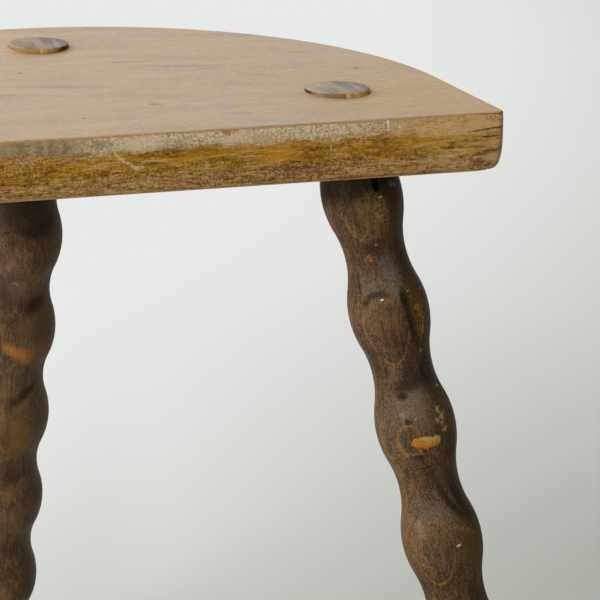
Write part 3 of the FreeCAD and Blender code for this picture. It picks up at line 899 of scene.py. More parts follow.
@dataclass
class Leg:
    """One bobbin-turned leg with its tenon, saw kerf and wedge.

    Its marks are measured from its front, an angle about its axis. Two of its fields set painted
    light: how strong the painted reflection of its tenon in the seat's top is, and how dark the
    painted shade down one side of it is.
    """

    name: str
    top: Vector
    splay: float
    turn: float
    neck: float
    seat_thickness: float
    front: float = 0.0
    kerf_turn: float = 0.0
    marks: Marks = ()
    wall: Scale = ((0.0, tint(124, 92, 70)), (1.0, tint(150, 112, 60)))
    end_left: Tint = tint(162, 147, 130)
    end_wedge: Tint = tint(164, 148, 132)
    end_right: Tint = tint(136, 125, 116)
    # How dark and how far down the leg the painted shade and soot under the seat go
    soot: float = 0.78
    soot_reach: float = 0.022
    speckle: float = 0.38
    pith_distance: float = 0.055
    tone: float = 0.0
    halo: float = 0.5
    shelter: float = 0.75
    eased: float = 0.0007
    bead_diameter: float = 0.0432
    bead_relief: float = 0.00525
    bead_pitch: float = 0.0635
    tenon_diameter: float = 0.033
    tenon_proud: float = 0.0025
    tenon_fall: float = math.radians(2.4)
    kerf_mouth: float = 0.0062
    kerf_end: float = 0.004
    kerf_run: float = 0.014
    clearance: float = 0.0001
    overrun: float = 0.006
    trim_ahead: float = 0.002
    tenon_step: float = 0.004
    uneven: float = 0.0002
    uneven_lumps: float = 28.0
    arc_steps: int = 14
    round_steps: int = 80

    @property
    def bead_radius(self) -> float:
        """Half the leg's widest measure."""
        return self.bead_diameter / 2

    @property
    def cove_radius(self) -> float:
        """Half the leg's narrowest measure."""
        return self.bead_radius - self.bead_relief

    @property
    def arc_radius(self) -> float:
        """Radius of the arcs that beads and hollows share."""
        swell = self.bead_relief / 2
        return ((self.bead_pitch / 4) ** 2 + swell**2) / (2 * swell)

    @property
    def shoulder(self) -> float:
        """Depth of the shoulder down the axis."""
        slant = self.bead_radius * math.tan(self.splay)
        return self.seat_thickness / math.cos(self.splay) + slant

    @property
    def reach(self) -> float:
        """Height up the axis that is past the tenon's trimmed top."""
        slant = self.tenon_diameter / 2 * math.tan(self.splay)
        return (self.tenon_proud + self.overrun) / math.cos(self.splay) + slant

    @property
    def stance(self) -> Matrix:
        """The leg's own frame: Z up its axis, X the way it leans out."""
        lean = Matrix.Rotation(self.turn, 4, "Z") @ Matrix.Rotation(-self.splay, 4, "Y")
        return Matrix.Translation(self.top) @ lean

    @property
    def kerf_stance(self) -> Matrix:
        """The same frame, turned so that the kerf runs along its Y axis."""
        return self.stance @ Matrix.Rotation(self.kerf_turn - self.turn, 4, "Z")

    @property
    def tenon_top(self) -> tuple[Vector, Vector]:
        """The plane that trims tenon and wedge: a point on it and its upward direction."""
        forward = Vector((0, -self.tenon_diameter / 2 - self.trim_ahead, self.tenon_proud))
        upward = Vector((0, math.sin(self.tenon_fall), math.cos(self.tenon_fall)))
        return self.top + forward, upward

    def trimmed(self, graph: Graph, world: Socket) -> Socket:
        """Tell the trimmed top of the tenon and wedge, 1, from what is under it, 0."""
        point, up = self.tenon_top
        above = graph.vector("SUBTRACT", world, point)
        reach = graph.node("VectorMath", {0: above, 1: up}, operation="DOT_PRODUCT")
        return graph.between(reach.outputs["Value"], -0.0003, -0.0001)

    def beside(self, distance: float) -> Triple:
        """A place beside the axis, at a distance towards the leg's front."""
        return (distance * math.cos(self.front), distance * math.sin(self.front), 0.0)

    def draw_profile(self) -> Mesh:
        """Draw half the leg's section: tenon, shoulder, then bead after bead past the floor."""
        bm = bmesh.new()
        radius, pitch, about = self.arc_radius, self.bead_pitch, Vector((0, 1, 0))
        swing = math.asin(pitch / 4 / radius)
        entry = math.asin((pitch / 2 - self.neck) / radius)
        middle = -self.shoulder - self.neck
        tenon = self.tenon_diameter / 2
        hollow = Vector((self.cove_radius + radius, 0, middle + pitch / 2))
        end = bm.verts.new((tenon, 0, self.reach))
        steps = evenly(-self.overrun, -self.shoulder, -self.tenon_step)
        for place in [-self.overrun, *steps, -self.shoulder]:
            end = extrude_to(bm, end, Vector((tenon, 0, place)))
        shoulder_edge = hollow.x - radius * math.cos(entry)
        end = extrude_to(bm, end, Vector((shoulder_edge, 0, -self.shoulder)))
        end = sweep(bm, end, hollow, about, entry - swing, self.arc_steps // 2)
        past_floor = -(self.top.z / math.cos(self.splay)) - self.bead_radius
        while end.co.z > past_floor:
            belly = Vector((self.bead_radius - radius, 0, middle))
            end = sweep(bm, end, belly, about, 2 * swing, self.arc_steps)
            hollow = Vector((self.cove_radius + radius, 0, middle - pitch / 2))
            end = sweep(bm, end, hollow, about, -2 * swing, self.arc_steps)
            middle -= pitch
        return bm

    def ease_rim(self, bm: Mesh) -> None:
        """Take the sharp edge off the round rim of a trimmed top."""
        place, up = self.tenon_top
        unturned = self.stance.inverted()

        def on_rim(vert: Vert) -> bool:
            """Tell whether a vertex lies on the rim."""
            local = unturned @ vert.co
            away = math.hypot(local.x, local.y) - self.tenon_diameter / 2
            return abs((vert.co - place).dot(up)) < LOOSE and away > -self.clearance

        rim = [edge for edge in bm.edges if all(on_rim(vert) for vert in edge.verts)]
        short = [edge for edge in rim if edge.calc_length() < self.tenon_diameter / 8]
        round_off(bm, short, self.eased, 3)

    def kerf(self) -> Piece:
        """Make the tapered saw cut as a solid to take out of the leg."""
        bm = bmesh.new()
        depth = self.shoulder + self.kerf_run
        bmesh.ops.create_cube(bm, size=1.0)
        for vert in bm.verts:
            width = self.kerf_mouth if vert.co.z > 0 else self.kerf_end
            height = self.reach + self.overrun if vert.co.z > 0 else -depth
            vert.co = Vector((vert.co.x * width, vert.co.y * self.bead_diameter * 2, height))
        bmesh.ops.transform(bm, matrix=self.kerf_stance, verts=bm.verts)
        return add_mesh(f"{self.name}_kerf", bm)

    def turn_leg(self) -> Piece:
        """Turn the leg, stand it in its socket, trim both ends and saw the kerf."""
        bm = self.draw_profile()
        bmesh.ops.spin(
            bm,
            geom=bm.verts[:] + bm.edges[:],
            cent=(0, 0, 0),
            axis=(0, 0, 1),
            angle=2 * math.pi,
            steps=self.round_steps,
            use_merge=True,
        )
        bmesh.ops.remove_doubles(bm, verts=bm.verts, dist=CLOSE)
        self.soften(bm)
        bmesh.ops.transform(bm, matrix=self.stance, verts=bm.verts)
        cut_off(bm, *self.tenon_top)
        self.ease_rim(bm)
        cut_off(bm, Vector((0, 0, 0)), Vector((0, 0, -1)))
        bmesh.ops.recalc_face_normals(bm, faces=bm.faces)
        leg = add_mesh(f"{self.name}_turned_leg", bm)
        carve(leg, [self.kerf()])
        smooth(leg)
        return leg

    def soften(self, bm: Mesh) -> None:
        """Wear the beads slightly out of true, always inwards."""
        seed = Vector((self.top.x * 40, self.top.y * 40, 0))
        for vert in bm.verts:
            if vert.co.z > -self.shoulder - LOOSE:
                continue
            around = Vector((vert.co.x, vert.co.y, 0)).normalized()
            place = Vector((around.x, around.y, vert.co.z * self.uneven_lumps))
            wear = 0.5 + 0.5 * noise.noise(place + seed)
            vert.co -= around * self.uneven * max(0.0, wear)

    def cut_wedge(self) -> Piece:
        """Split the wedge out of a round stick as thick as the tenon and trim it alike."""
        bm = bmesh.new()
        depth = self.seat_thickness / math.cos(self.splay)
        tall = self.reach + depth
        middle = Matrix.Translation((0, 0, self.reach - tall / 2))
        round_bar(bm, self.tenon_diameter / 2, tall, self.round_steps, middle)
        full = self.reach + self.shoulder + self.kerf_run
        slope = (self.kerf_mouth - self.kerf_end) / 2 / full
        for side in (-1, 1):
            face = Vector((side * (self.kerf_mouth / 2 - self.clearance), 0, self.reach))
            cut_off(bm, face, Vector((side, 0, -slope)).normalized())
        bmesh.ops.transform(bm, matrix=self.kerf_stance, verts=bm.verts)
        cut_off(bm, *self.tenon_top)
        self.ease_rim(bm)
        bmesh.ops.recalc_face_normals(bm, faces=bm.faces)
        wedge = add_mesh(f"{self.name}_split_wedge", bm)
        smooth(wedge)
        return wedge

    def build(self) -> None:
        leg = self.turn_leg()
        leg.data.materials.append(LegWood(self).material())
        declare(leg, f"{self.name}_leg")
        wedge = self.cut_wedge()
        wedge.data.materials.append(WedgeWood(self).material())
        declare(wedge, f"{self.name}_wedge")


@dataclass
class Seat:
    """The board: straight in front, rounded behind, with three leaning sockets."""

    low: Vector
    high: Vector
    legs: list[Leg]
    corner_radius: float = 0.0045
    side_length: float = 0.074
    side_lean: float = math.radians(7.2)
    shoulder_end: float = math.radians(53)
    top_round: float = 0.0015
    bottom_round: float = 0.0044
    belly: float = 0.0005
    worn_corner: float = 0.014
    corner_wear: float = 0.0024
    uneven: float = 0.0002
    uneven_lumps: float = 11.0
    border: float = 0.002
    grid: float = 0.005
    layer: float = 0.003
    corner_steps: int = 12
    shoulder_steps: int = 36
    back_steps: int = 40
    round_steps: int = 6

    def back_radii(self, side: Vector) -> tuple[float, float]:
        """Find the two arcs that carry a side round to the back.

        Args:
            side: Where the straight side ends.

        Returns:
            The radius of the shoulder's arc and that of the back's.
        """
        lean, turn = self.side_lean, self.shoulder_end
        back_rise = 1 - math.sin(turn)
        run = math.cos(lean) - math.cos(turn)
        rise = math.sin(turn) - math.sin(lean)
        left = self.high.y - side.y
        scale = math.cos(turn) * rise - run * back_rise
        back = (side.x * rise - run * left) / scale
        shoulder = (math.cos(turn) * left - back_rise * side.x) / scale
        return shoulder, back

    def draw_plan(self) -> Mesh:
        """Draw the seat's outline at its top face and fill it."""
        bm = bmesh.new()
        about, top = Vector((0, 0, 1)), self.high.z
        corner = Vector((self.high.x - self.corner_radius, self.low.y + self.corner_radius, top))
        end = bm.verts.new((0, self.low.y, top))
        end = extrude_to(bm, end, Vector((corner.x, self.low.y, top)))
        end = sweep(bm, end, corner, about, math.pi / 2 + self.side_lean, self.corner_steps)
        along = Vector((-math.sin(self.side_lean), math.cos(self.side_lean), 0))
        side = end.co + along * self.side_length
        end = extrude_to(bm, end, side)
        shoulder, back = self.back_radii(side)
        out = Vector((math.cos(self.side_lean), math.sin(self.side_lean), 0))
        turned = self.shoulder_end - self.side_lean
        end = sweep(bm, end, side - out * shoulder, about, turned, self.shoulder_steps)
        centre = Vector((0, self.high.y - back, top))
        sweep(bm, end, centre, about, math.pi / 2 - self.shoulder_end, self.back_steps)
        bmesh.ops.mirror(
            bm,
            geom=bm.verts[:] + bm.edges[:],
            matrix=Matrix.Identity(4),
            merge_dist=LOOSE,
            axis="X",
        )
        bmesh.ops.remove_doubles(bm, verts=bm.verts, dist=LOOSE)
        bmesh.ops.edgeloop_fill(bm, edges=bm.edges)
        return bm

    def rim(self, bm: Mesh, height: float) -> list[Edge]:
        """Find the board's outer edges at one height."""
        return [
            edge
            for edge in bm.edges
            if all(abs(vert.co.z - height) < CLOSE for vert in edge.verts)
        ]

    def socket(self, leg: Leg) -> Piece:
        """Make the slanting bore for a leg's tenon as a solid to take out of the board."""
        bm = bmesh.new()
        radius = leg.tenon_diameter / 2 + leg.clearance
        right_through = (self.high.z - self.low.z) * 3
        round_bar(bm, radius, right_through, leg.round_steps, leg.stance)
        return add_mesh(f"{leg.name}_bore", bm)

    def wear(self, bm: Mesh) -> None:
        """Leave the faces slightly uneven and the edge slightly bellied, always inwards."""
        bm.normal_update()
        middle = (self.high.z + self.low.z) / 2
        half = (self.high.z - self.low.z) / 2
        for vert in bm.verts:
            inward = self.uneven * max(0.0, 0.5 + 0.5 * noise.noise(vert.co * self.uneven_lumps))
            flat = Vector((vert.normal.x, vert.normal.y, 0))
            off_middle = (vert.co.z - middle) / half
            corner = max(0.0, abs(vert.co.x) - self.high.x + self.worn_corner)
            corner *= max(0.0, -off_middle) ** 2 / self.worn_corner
            worn = self.belly * off_middle**4 + self.corner_wear * corner
            vert.co -= vert.normal * inward + flat * worn
            vert.co.z += self.corner_wear * corner**2

    def build(self) -> None:
        bm = self.draw_plan()
        thickness = self.high.z - self.low.z
        below = bmesh.ops.extrude_face_region(bm, geom=bm.faces[:])["geom"]
        verts = [part for part in below if isinstance(part, Vert)]
        bmesh.ops.translate(bm, verts=verts, vec=(0, 0, -thickness))
        bmesh.ops.recalc_face_normals(bm, faces=bm.faces)
        for height, radius in ((self.high.z, self.top_round), (self.low.z, self.bottom_round)):
            round_off(bm, self.rim(bm, height), radius, self.round_steps)
        faces = [face for face in bm.faces if len(face.verts) > 8]
        bmesh.ops.inset_individual(bm, faces=faces, thickness=self.border)
        score(bm, Vector((1, 0, 0)), evenly(self.low.x, self.high.x, self.grid))
        score(bm, Vector((0, 1, 0)), evenly(self.low.y, self.high.y, self.grid))
        upper, lower = self.high.z - self.top_round, self.low.z + self.bottom_round
        score(bm, Vector((0, 0, 1)), evenly(lower, upper, self.layer))
        self.wear(bm)
        board = add_mesh("half_moon_board", bm)
        carve(board, [self.socket(leg) for leg in self.legs])
        smooth(board)
        board.data.materials.append(SeatWood(self.low, self.high, self.legs).material())
        declare(board, "seat")


def declare(piece: Piece, node: str) -> None:
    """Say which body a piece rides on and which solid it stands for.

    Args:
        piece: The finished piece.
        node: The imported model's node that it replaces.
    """
    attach(piece, "root")
    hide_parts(node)
    LOG.info("%s stands for %s: %d faces", piece.name, node, len(piece.data.polygons))


# The studio


@dataclass(frozen=True)
class Viewpoint:
    """Where the picture is taken from."""

    place: Vector = Vector((-0.3455, -1.4904, 0.8226))
    yaw: float = math.radians(18.05)
    pitch: float = math.radians(18.24)
    roll: float = math.radians(1.29)
    lens: float = 174.76
    far: float = 50.0

    def build(self) -> None:
        """Set up the camera."""
        data = bpy.data.cameras.new("camera")
        data.lens = self.lens
        data.clip_end = self.far
        flat = Vector((math.sin(self.yaw), math.cos(self.yaw), 0))
        ahead = flat * math.cos(self.pitch) - Vector((0, 0, math.sin(self.pitch)))
        level = Vector((math.cos(self.yaw), -math.sin(self.yaw), 0))
        above = level.cross(ahead)
        right = level * math.cos(self.roll) + above * math.sin(self.roll)
        up = above * math.cos(self.roll) - level * math.sin(self.roll)
        camera = bpy.data.objects.new("camera", data)
        turned = Matrix((right, up, -ahead)).transposed().to_4x4()
        camera.matrix_world = Matrix.Translation(self.place) @ turned
        bpy.context.scene.collection.objects.link(camera)
        bpy.context.scene.camera = camera


@dataclass(frozen=True)
class SoftBox:
    """A large soft lamp."""

    name: str
    place: Vector
    size: float
    power: float
    aim: Vector = Vector((0, 0, 0.35))

    def build(self) -> None:
        """Hang the lamp and turn it towards its aim."""
        data = bpy.data.lights.new(self.name, "AREA")
        data.shape = "SQUARE"
        data.size = self.size
        data.energy = self.power
        lamp = bpy.data.objects.new(self.name, data)
        turn = (self.aim - self.place).to_track_quat("-Z", "Y").to_matrix().to_4x4()
        lamp.matrix_world = Matrix.Translation(self.place) @ turn
        bpy.context.scene.collection.objects.link(lamp)


@dataclass(frozen=True)
class Studio:
    """The pale floor with a painted pool of light and band of shade, and the plain light around the
    stool.
    """

    floor_size: float = 24.0
    # Centre of a painted pool of light on the floor; the scale below paints its fall-off to a band of
    # shade
    light_pool: Triple = (-1.39, 2.69, 0.0)
    pool_light_and_shade: Scale = (
        (0.20, tint(232, 234, 233)),
        (0.27, tint(228, 229, 227)),
        (0.34, tint(218, 220, 217)),
        (0.40, tint(208, 210, 205)),
        (0.46, tint(198, 201, 193)),
        (0.53, tint(182, 185, 176)),
        (0.62, tint(180, 183, 175)),
        (0.95, tint(216, 218, 214)),
    )
    lift: float = 1.16
    shadow: Tint = tint(0, 0, 0)
    sky: Tint = tint(232, 234, 233)
    fill: float = 0.17
    lamps: tuple[SoftBox, ...] = (
        SoftBox("window", Vector((-2.35, -1.0, 1.2)), size=1.8, power=68.0),
        SoftBox("skylight", Vector((-0.9, 1.3, 2.3)), size=2.0, power=52.0),
    )

    def build(self) -> None:
        """Lay the floor and set the light."""
        bm = bmesh.new()
        bmesh.ops.create_grid(bm, x_segments=8, y_segments=8, size=self.floor_size / 2)
        floor = add_mesh("studio_floor", bm)
        floor.data.materials.append(self.floor_paint())

        bpy.context.scene.world = self.room()
        bpy.context.scene.view_settings.view_transform = "Standard"
        for lamp in self.lamps:
            lamp.build()

    def floor_paint(self) -> bpy.types.Material:
        """Make the floor: lit near the stool, and further off glowing with painted light and shade.
        """
        graph = Graph(bpy.data.materials.new("floor_paint"))
        where = graph.node("TexCoord", {}).outputs["Object"]
        # Painted light and shade: palest within about 2.4 m of the pool's centre, dimmest about 3.1 m
        # out, paler beyond
        away = graph.length(graph.vector("SUBTRACT", where, self.light_pool))
        uneven = graph.grow(graph.noise(where, (2, 2, 2), 2), 0.02, away)
        colour = graph.ramp(graph.grow(uneven, 0.5, -1.0), self.pool_light_and_shade)
        across, along = graph.parts(where)[:2]
        aslant = graph.grow(along, -0.26, across)
        dim = graph.times(graph.between(aslant, 0.08, 0.0), graph.between(along, 1.0, 0.3), 0.08)
        colour = graph.mix(dim, colour, self.shadow)
        lit = graph.vector("MULTIPLY", colour, (self.lift, self.lift, self.lift))
        paint = graph.node("BsdfPrincipled", {"Base Color": lit, "Roughness": 0.9})
        glow = graph.node("Emission", {"Color": colour})
        far = graph.between(graph.length(where), 0.45, 1.1)
        surface = {0: graph.times(far, graph.seen()), 1: paint.outputs[0], 2: glow.outputs[0]}
        shown = graph.node("MixShader", surface).outputs[0]
        graph.node("OutputMaterial", {"Surface": shown})
        return graph.owner

    def room(self) -> bpy.types.World:
        """Make a room that is pale where it is seen or mirrored, and lights only a little."""
        graph = Graph(bpy.data.worlds.new("room"))
        inputs = {"Value": graph.seen(), "To Min": self.fill, "To Max": 1.0}
        strength = graph.node("MapRange", inputs).outputs[0]
        sky = graph.node("Background", {"Color": self.sky, "Strength": strength})
        graph.node("OutputWorld", {"Surface": sky.outputs[0]})
        return graph.owner


def right_leg_marks() -> Marks:
    """List what the right front leg has collected, across from its front and down from the seat."""
    pale, gold, black = tint(186, 164, 112), tint(150, 110, 26), tint(30, 23, 20)
    purple, orange, chip = tint(38, 26, 28), tint(158, 106, 44), tint(210, 138, 36)
    painted_sheen, beige, white = tint(98, 100, 94), tint(124, 112, 92), tint(240, 230, 212)
    olive, tan, grey = tint(116, 88, 36), tint(152, 114, 76), tint(150, 136, 120)
    rust, rim, flake = tint(118, 74, 40), tint(224, 182, 116), tint(236, 208, 140)
    amber, straw, shade = tint(164, 112, 56), tint(166, 130, 72), tint(40, 29, 23)
    yellow, russet, dusk = tint(190, 144, 40), tint(124, 86, 48), tint(122, 92, 46)
    return marks(
        (-3.6, -62, 6.8, 14.8, straw, 0.65, 0, 0.14, 0.3, 0.06, 0),
        (-3.7, -63, 5.2, 11.6, straw, 0.5, 0, 0.16, 0.3, 0.06, 0),
        (-3.7, -63, 3.6, 8.4, straw, 0.4, 0, 0.2, 0.3, 0.08, 0),
        (-3.7, -66, 1.6, 6.5, shade, 0.5, 0, 0.8),
        (-0.8, -126.8, 12, 19.2, amber, 0.8, 0, 0.06, 0.3, 0.04, 0.35),
        (-0.8, -126.5, 11.2, 18, shade, 0.5, 0, 0.06, 0.3, 0.05, 0.1),
        (-1, -124, 8, 15, amber, 0.2, 0, 0.12, 0.3, 0.05, 0.2),
        (-3.3, -250.5, 10.9, 17.4, amber, 0.85, 0.15, 0.06, 0.3, 0.035, 0.7),
        (-3.3, -250.2, 10.2, 16.4, shade, 0.4, 0.15, 0.06, 0.3, 0.05, 0.3),
        (4, -63, 7, 6.5, olive, 0.3, 0, 1.6, 0.7),
        (10.5, -63, 3.6, 6.5, tint(150, 122, 62), 0.25, 0, 2.6),
        (11.8, -60.2, 2.4, 1.2, straw, 0.8, 0, 0.7, 0.3, 0.3),
        (11, -62.6, 2.8, 1.3, straw, 0.8, 0.1, 0.7, 0.3, 0.3),
        (11.4, -65.6, 3, 1.5, straw, 0.7, -0.1, 0.7, 0.3, 0.3),
        (12.6, -68.6, 2.6, 1.3, straw, 0.5, 0, 0.9, 0.3, 0.3),
        (11.4, -57.3, 0.45, 0.4, white, 0.9, 0, 0.2),
        (12.7, -57.3, 0.45, 0.4, white, 0.9, 0, 0.2),
        (5.4, -60.6, 0.7, 0.6, gold, 0.8),
        (20, -57, 9, 9, black, 0.4, 0, 0.6, 0.7),
        (22, -53, 2.6, 1.2, beige, 0.6, 0.4, 1.6),
        (4.4, -81.8, 1, 0.6, pale, 0.6),
        (3, -84.5, 14, 4.5, purple, 0.4, 0, 0.6, 0.7),
        (-1.9, -88.4, 2.8, 1.6, tint(150, 106, 70), 0.8, 0, 1.8),
        (13, -89, 5, 3, rust, 0.25, 0, 1.6, 0.6),
        (-3, -97, 4, 4, purple, 0.35, 0, 1.5, 0.6),
        # Painted sheen on the second bead's upper shoulder, this row and the next
        (9.6, -98.5, 5, 7.5, painted_sheen, 0.7, 0, 1.2, 0.7),
        (9.6, -107, 5, 6.5, beige, 0.75, 0, 1.9, 0.4),
        (-6, -103, 9, 5.5, beige, 0.5, 0, 2, 0.5),
        (-13.5, -96, 2, 3.6, tan, 0.3, 0, 0.6, 0.3, 0.2),
        (-13.2, -101.5, 1, 4.5, black, 0.6, -0.2, 0.8),
        (-18, -108.4, 1.2, 1.3, rust, 0.6, 0, 1),
        (-8.4, -110.3, 3.8, 1.5, black, 0.8, -0.74, 1.3),
        (-3.2, -107.6, 4.4, 1.7, black, 0.8, -0.1, 1.3),
        (2.2, -108.1, 3.4, 1.5, black, 0.7, 0.35, 1.3),
        (-2.5, -113, 8, 3.2, tan, 0.3, 0, 2.2, 0.4),
        # A painted glint
        (0.4, -110.3, 0.9, 0.5, white, 0.95, 0, 0.3),
        (12.7, -113, 2.2, 6, black, 0.9, 0, 0.9),
        (12.8, -123, 1.9, 9, black, 0.9, 0, 0.9),
        (14.6, -133.5, 1.8, 6, black, 0.6, -0.3, 0.9, 0.4),
        (16.6, -109.2, 0.6, 0.6, pale, 1, 0, 0.3),
        (26.9, -110.9, 0.7, 0.5, pale, 0.9, 0, 0.3),
        (19, -117, 4, 11, olive, 0.4, 0, 1.6, 0.5),
        (19.7, -119.6, 1.7, 1.6, yellow, 0.7, 0, 1.8),
        (20.6, -123, 1.5, 0.8, yellow, 0.8, 0, 1.2),
        (21.7, -128, 0.6, 4.5, yellow, 0.9, 0.1, 0.9),
        (19.4, -131.5, 0.5, 5, yellow, 0.5, -0.1, 0.9),
        (17.2, -129, 0.5, 5, gold, 0.5, -0.1, 0.9),
        (18.8, -142.4, 1, 1, yellow, 0.5, 0, 1.2),
        (1, -115.5, 6, 2, shade, 0.4, 0, 2, 0.5),
        (0, -131, 9.5, 13, purple, 0.35, 0, 0.9, 0.6),
        (0.5, -122.5, 7, 3.6, russet, 0.35, 0, 2, 0.5),
        (-5.2, -127, 0.4, 9, russet, 0.5, 0, 0.8),
        (-2.6, -130, 0.4, 10, shade, 0.6, 0, 0.8),
        (-0.2, -131, 0.4, 9, russet, 0.45, 0, 0.8),
        (2.4, -132, 0.4, 10, shade, 0.6, 0, 0.8),
        (5, -130, 0.4, 9, russet, 0.45, 0, 0.8),
        # Painted sheen on the third bead's upper shoulder: this row and the beige rows 6.3 and 7.4
        # across
        (10, -162, 4, 4.5, painted_sheen, 0.6, 0, 1.3, 0.6),
        (6.3, -171, 6.5, 7.5, beige, 0.6, 0, 2, 0.4),
        (-10, -175, 8, 14, beige, 0.3, 0, 2, 0.5),
        (7.4, -180.5, 5, 4, beige, 0.5, 0, 2, 0.4),
        (2, -158.6, 9, 3.2, purple, 0.7, 0.1, 0.8, 0.5),
        (13, -156, 11, 5, purple, 0.5, 0.1, 0.7, 0.7),
        (-4.4, -160.2, 4.6, 2.6, purple, 0.55, 0.2, 0.6, 0.7),
        (-1.8, -163.6, 3.4, 2, purple, 0.9, 0.1, 0.5, 0.5),
        (-3.1, -173.9, 0.8, 3.2, grey, 0.5, 0, 1.4),
        (-1, -177, 2.4, 1.4, black, 0.7, 0, 1),
        (17.6, -174.5, 1.3, 1.4, flake, 0.7, 0, 1.4),
        (19.4, -178.4, 1.7, 2.3, flake, 0.8, 0.4, 1.5),
        (15.4, -180.2, 1.2, 1.1, flake, 0.6, 0, 1.6),
        (17.8, -182, 1, 1.2, flake, 0.6, 0, 1.6),
        (19.1, -185.7, 1.8, 1.1, flake, 0.85, 0, 1.4),
        (26.6, -163.7, 0.8, 0.8, white, 0.9, 0, 0.3),
        (22, -180, 4.5, 9, dusk, 0.4, 0, 1.8, 0.5),
        (-9.5, -165.6, 6, 0.35, rust, 0.6, -0.82, 0.3),
        (-2, -187, 6.3, 8, tint(184, 124, 42), 0.9, 0, 0.14, 0.3, 0.06),
        (4, -184.6, 2.4, 1.6, orange, 0.45, 0, 2),
        (-8.7, -190, 1.7, 5, tan, 0.6, -0.2, 1.2),
        (-6, -195, 1.2, 2, tan, 0.6, -0.4, 0.9),
        (7.2, -189, 6.4, 2.1, rim, 0.9, 0.2, 0.35, 0.2),
        (12.3, -189.9, 2.5, 2.4, rim, 0.9, 0, 0.3, 0.2),
        (1.4, -188.9, 2.8, 2.4, chip, 0.95, 0, 0.6, 0.15),
        (5.6, -190.8, 5.8, 2.2, chip, 0.95, 0.22, 0.6, 0.15),
        (11.6, -191.2, 2.2, 1.8, chip, 0.85),
        (8, -190.2, 2.2, 1, rim, 0.35, 0, 1.4),
        (2.4, -194, 0.8, 1.9, orange, 0.7, 0, 0.8),
        (3.4, -195.8, 4, 0.45, orange, 0.6, 0, 0.9),
        (-1, -196.9, 5, 1.2, black, 0.6, 0, 1.2),
        (4, -187, 14, 7, black, 0.3, 0, 1.6, 0.6),
        (0, -203.6, 13, 0.25, black, 0.5, -0.03, 0.3),
        (-1, -207, 9, 0.2, black, 0.35, 0.03, 0.4),
        (-11.5, -213.9, 1.6, 3, orange, 0.35, 0.2, 1.4),
        (0.5, -228.5, 11, 6.5, beige, 0.45, 0, 2, 0.5),
        (13, -225, 2.2, 10, black, 0.65, -0.5, 1),
        # A painted sheen streak on the fourth bead's shoulder
        (17.5, -226, 1.2, 6, beige, 0.35, -0.5, 1.6),
        (22, -229, 3, 12, black, 0.5, -0.3, 0.9, 0.5),
        # The next three grey spots are painted sheen
        (-9.1, -232.6, 0.8, 1.4, grey, 0.5, 0, 1),
        (-8.5, -238.5, 2.4, 3.6, grey, 0.3, 0, 2.2),
        (0.6, -255.9, 1.6, 1.4, grey, 0.4, 0, 1.6),
        (10.8, -248.5, 1.5, 0.6, white, 1, -0.15, 0.3),
        (17, -241.5, 5, 1, yellow, 0.4, 0.5, 2.4),
        (14.5, -250, 6, 7, olive, 0.3, 0, 2.4, 0.4),
        (-1, -251, 9, 12, purple, 0.4, 0, 0.9, 0.7),
        (21, -119, 3, 7, tint(150, 104, 30), 0.35, 0, 2, 0.4),
    )


def left_leg_marks() -> Marks:
    """List what the left front leg has collected, across from its front and down from the seat."""
    amber, straw, shade = tint(164, 112, 56), tint(150, 118, 68), tint(40, 29, 23)
    purple, beige, pale = tint(38, 26, 28), tint(124, 112, 92), tint(206, 196, 172)
    return marks(
        (2, -62, 7, 13, straw, 0.5, 0, 0.14, 0.3, 0.05, 0),
        (2.4, -62, 4.4, 8.5, straw, 0.4, 0, 0.2, 0.3, 0.07, 0),
        (1, -123, 10.5, 17, amber, 0.7, -0.1, 0.08, 0.3, 0.04, 0.4),
        (-1, -187, 11.5, 16, amber, 0.6, 0.1, 0.08, 0.3, 0.04, 0.2),
        (-1, -186, 6.5, 9.5, straw, 0.4, 0.1, 0.12, 0.3, 0.06, 0.3),
        (3, -250, 10, 17.5, amber, 0.7, -0.12, 0.06, 0.3, 0.04, 0.6),
        (-2, -313, 11, 16.5, amber, 0.6, 0.08, 0.08, 0.3, 0.04, 0.4),
        (0, -377, 10, 16, straw, 0.5, -0.06, 0.1, 0.3, 0.05, 0.4),
        (2, -157, 11, 3.2, purple, 0.6, 0.1, 0.8, 0.5),
        (-4, -284, 12, 3, purple, 0.5, -0.1, 0.8, 0.5),
        (10, -173, 6, 7, beige, 0.5, 0, 2, 0.4),
        (-9, -108, 7, 6, beige, 0.45, 0, 2, 0.5),
        (-11, -236, 2.6, 12, shade, 0.5, 0.2, 1),
        (8, -201.5, 1.6, 0.7, pale, 0.9, 0.3),
        (-5, -131, 0.9, 0.6, pale, 0.9, 0, 0.4),
    )


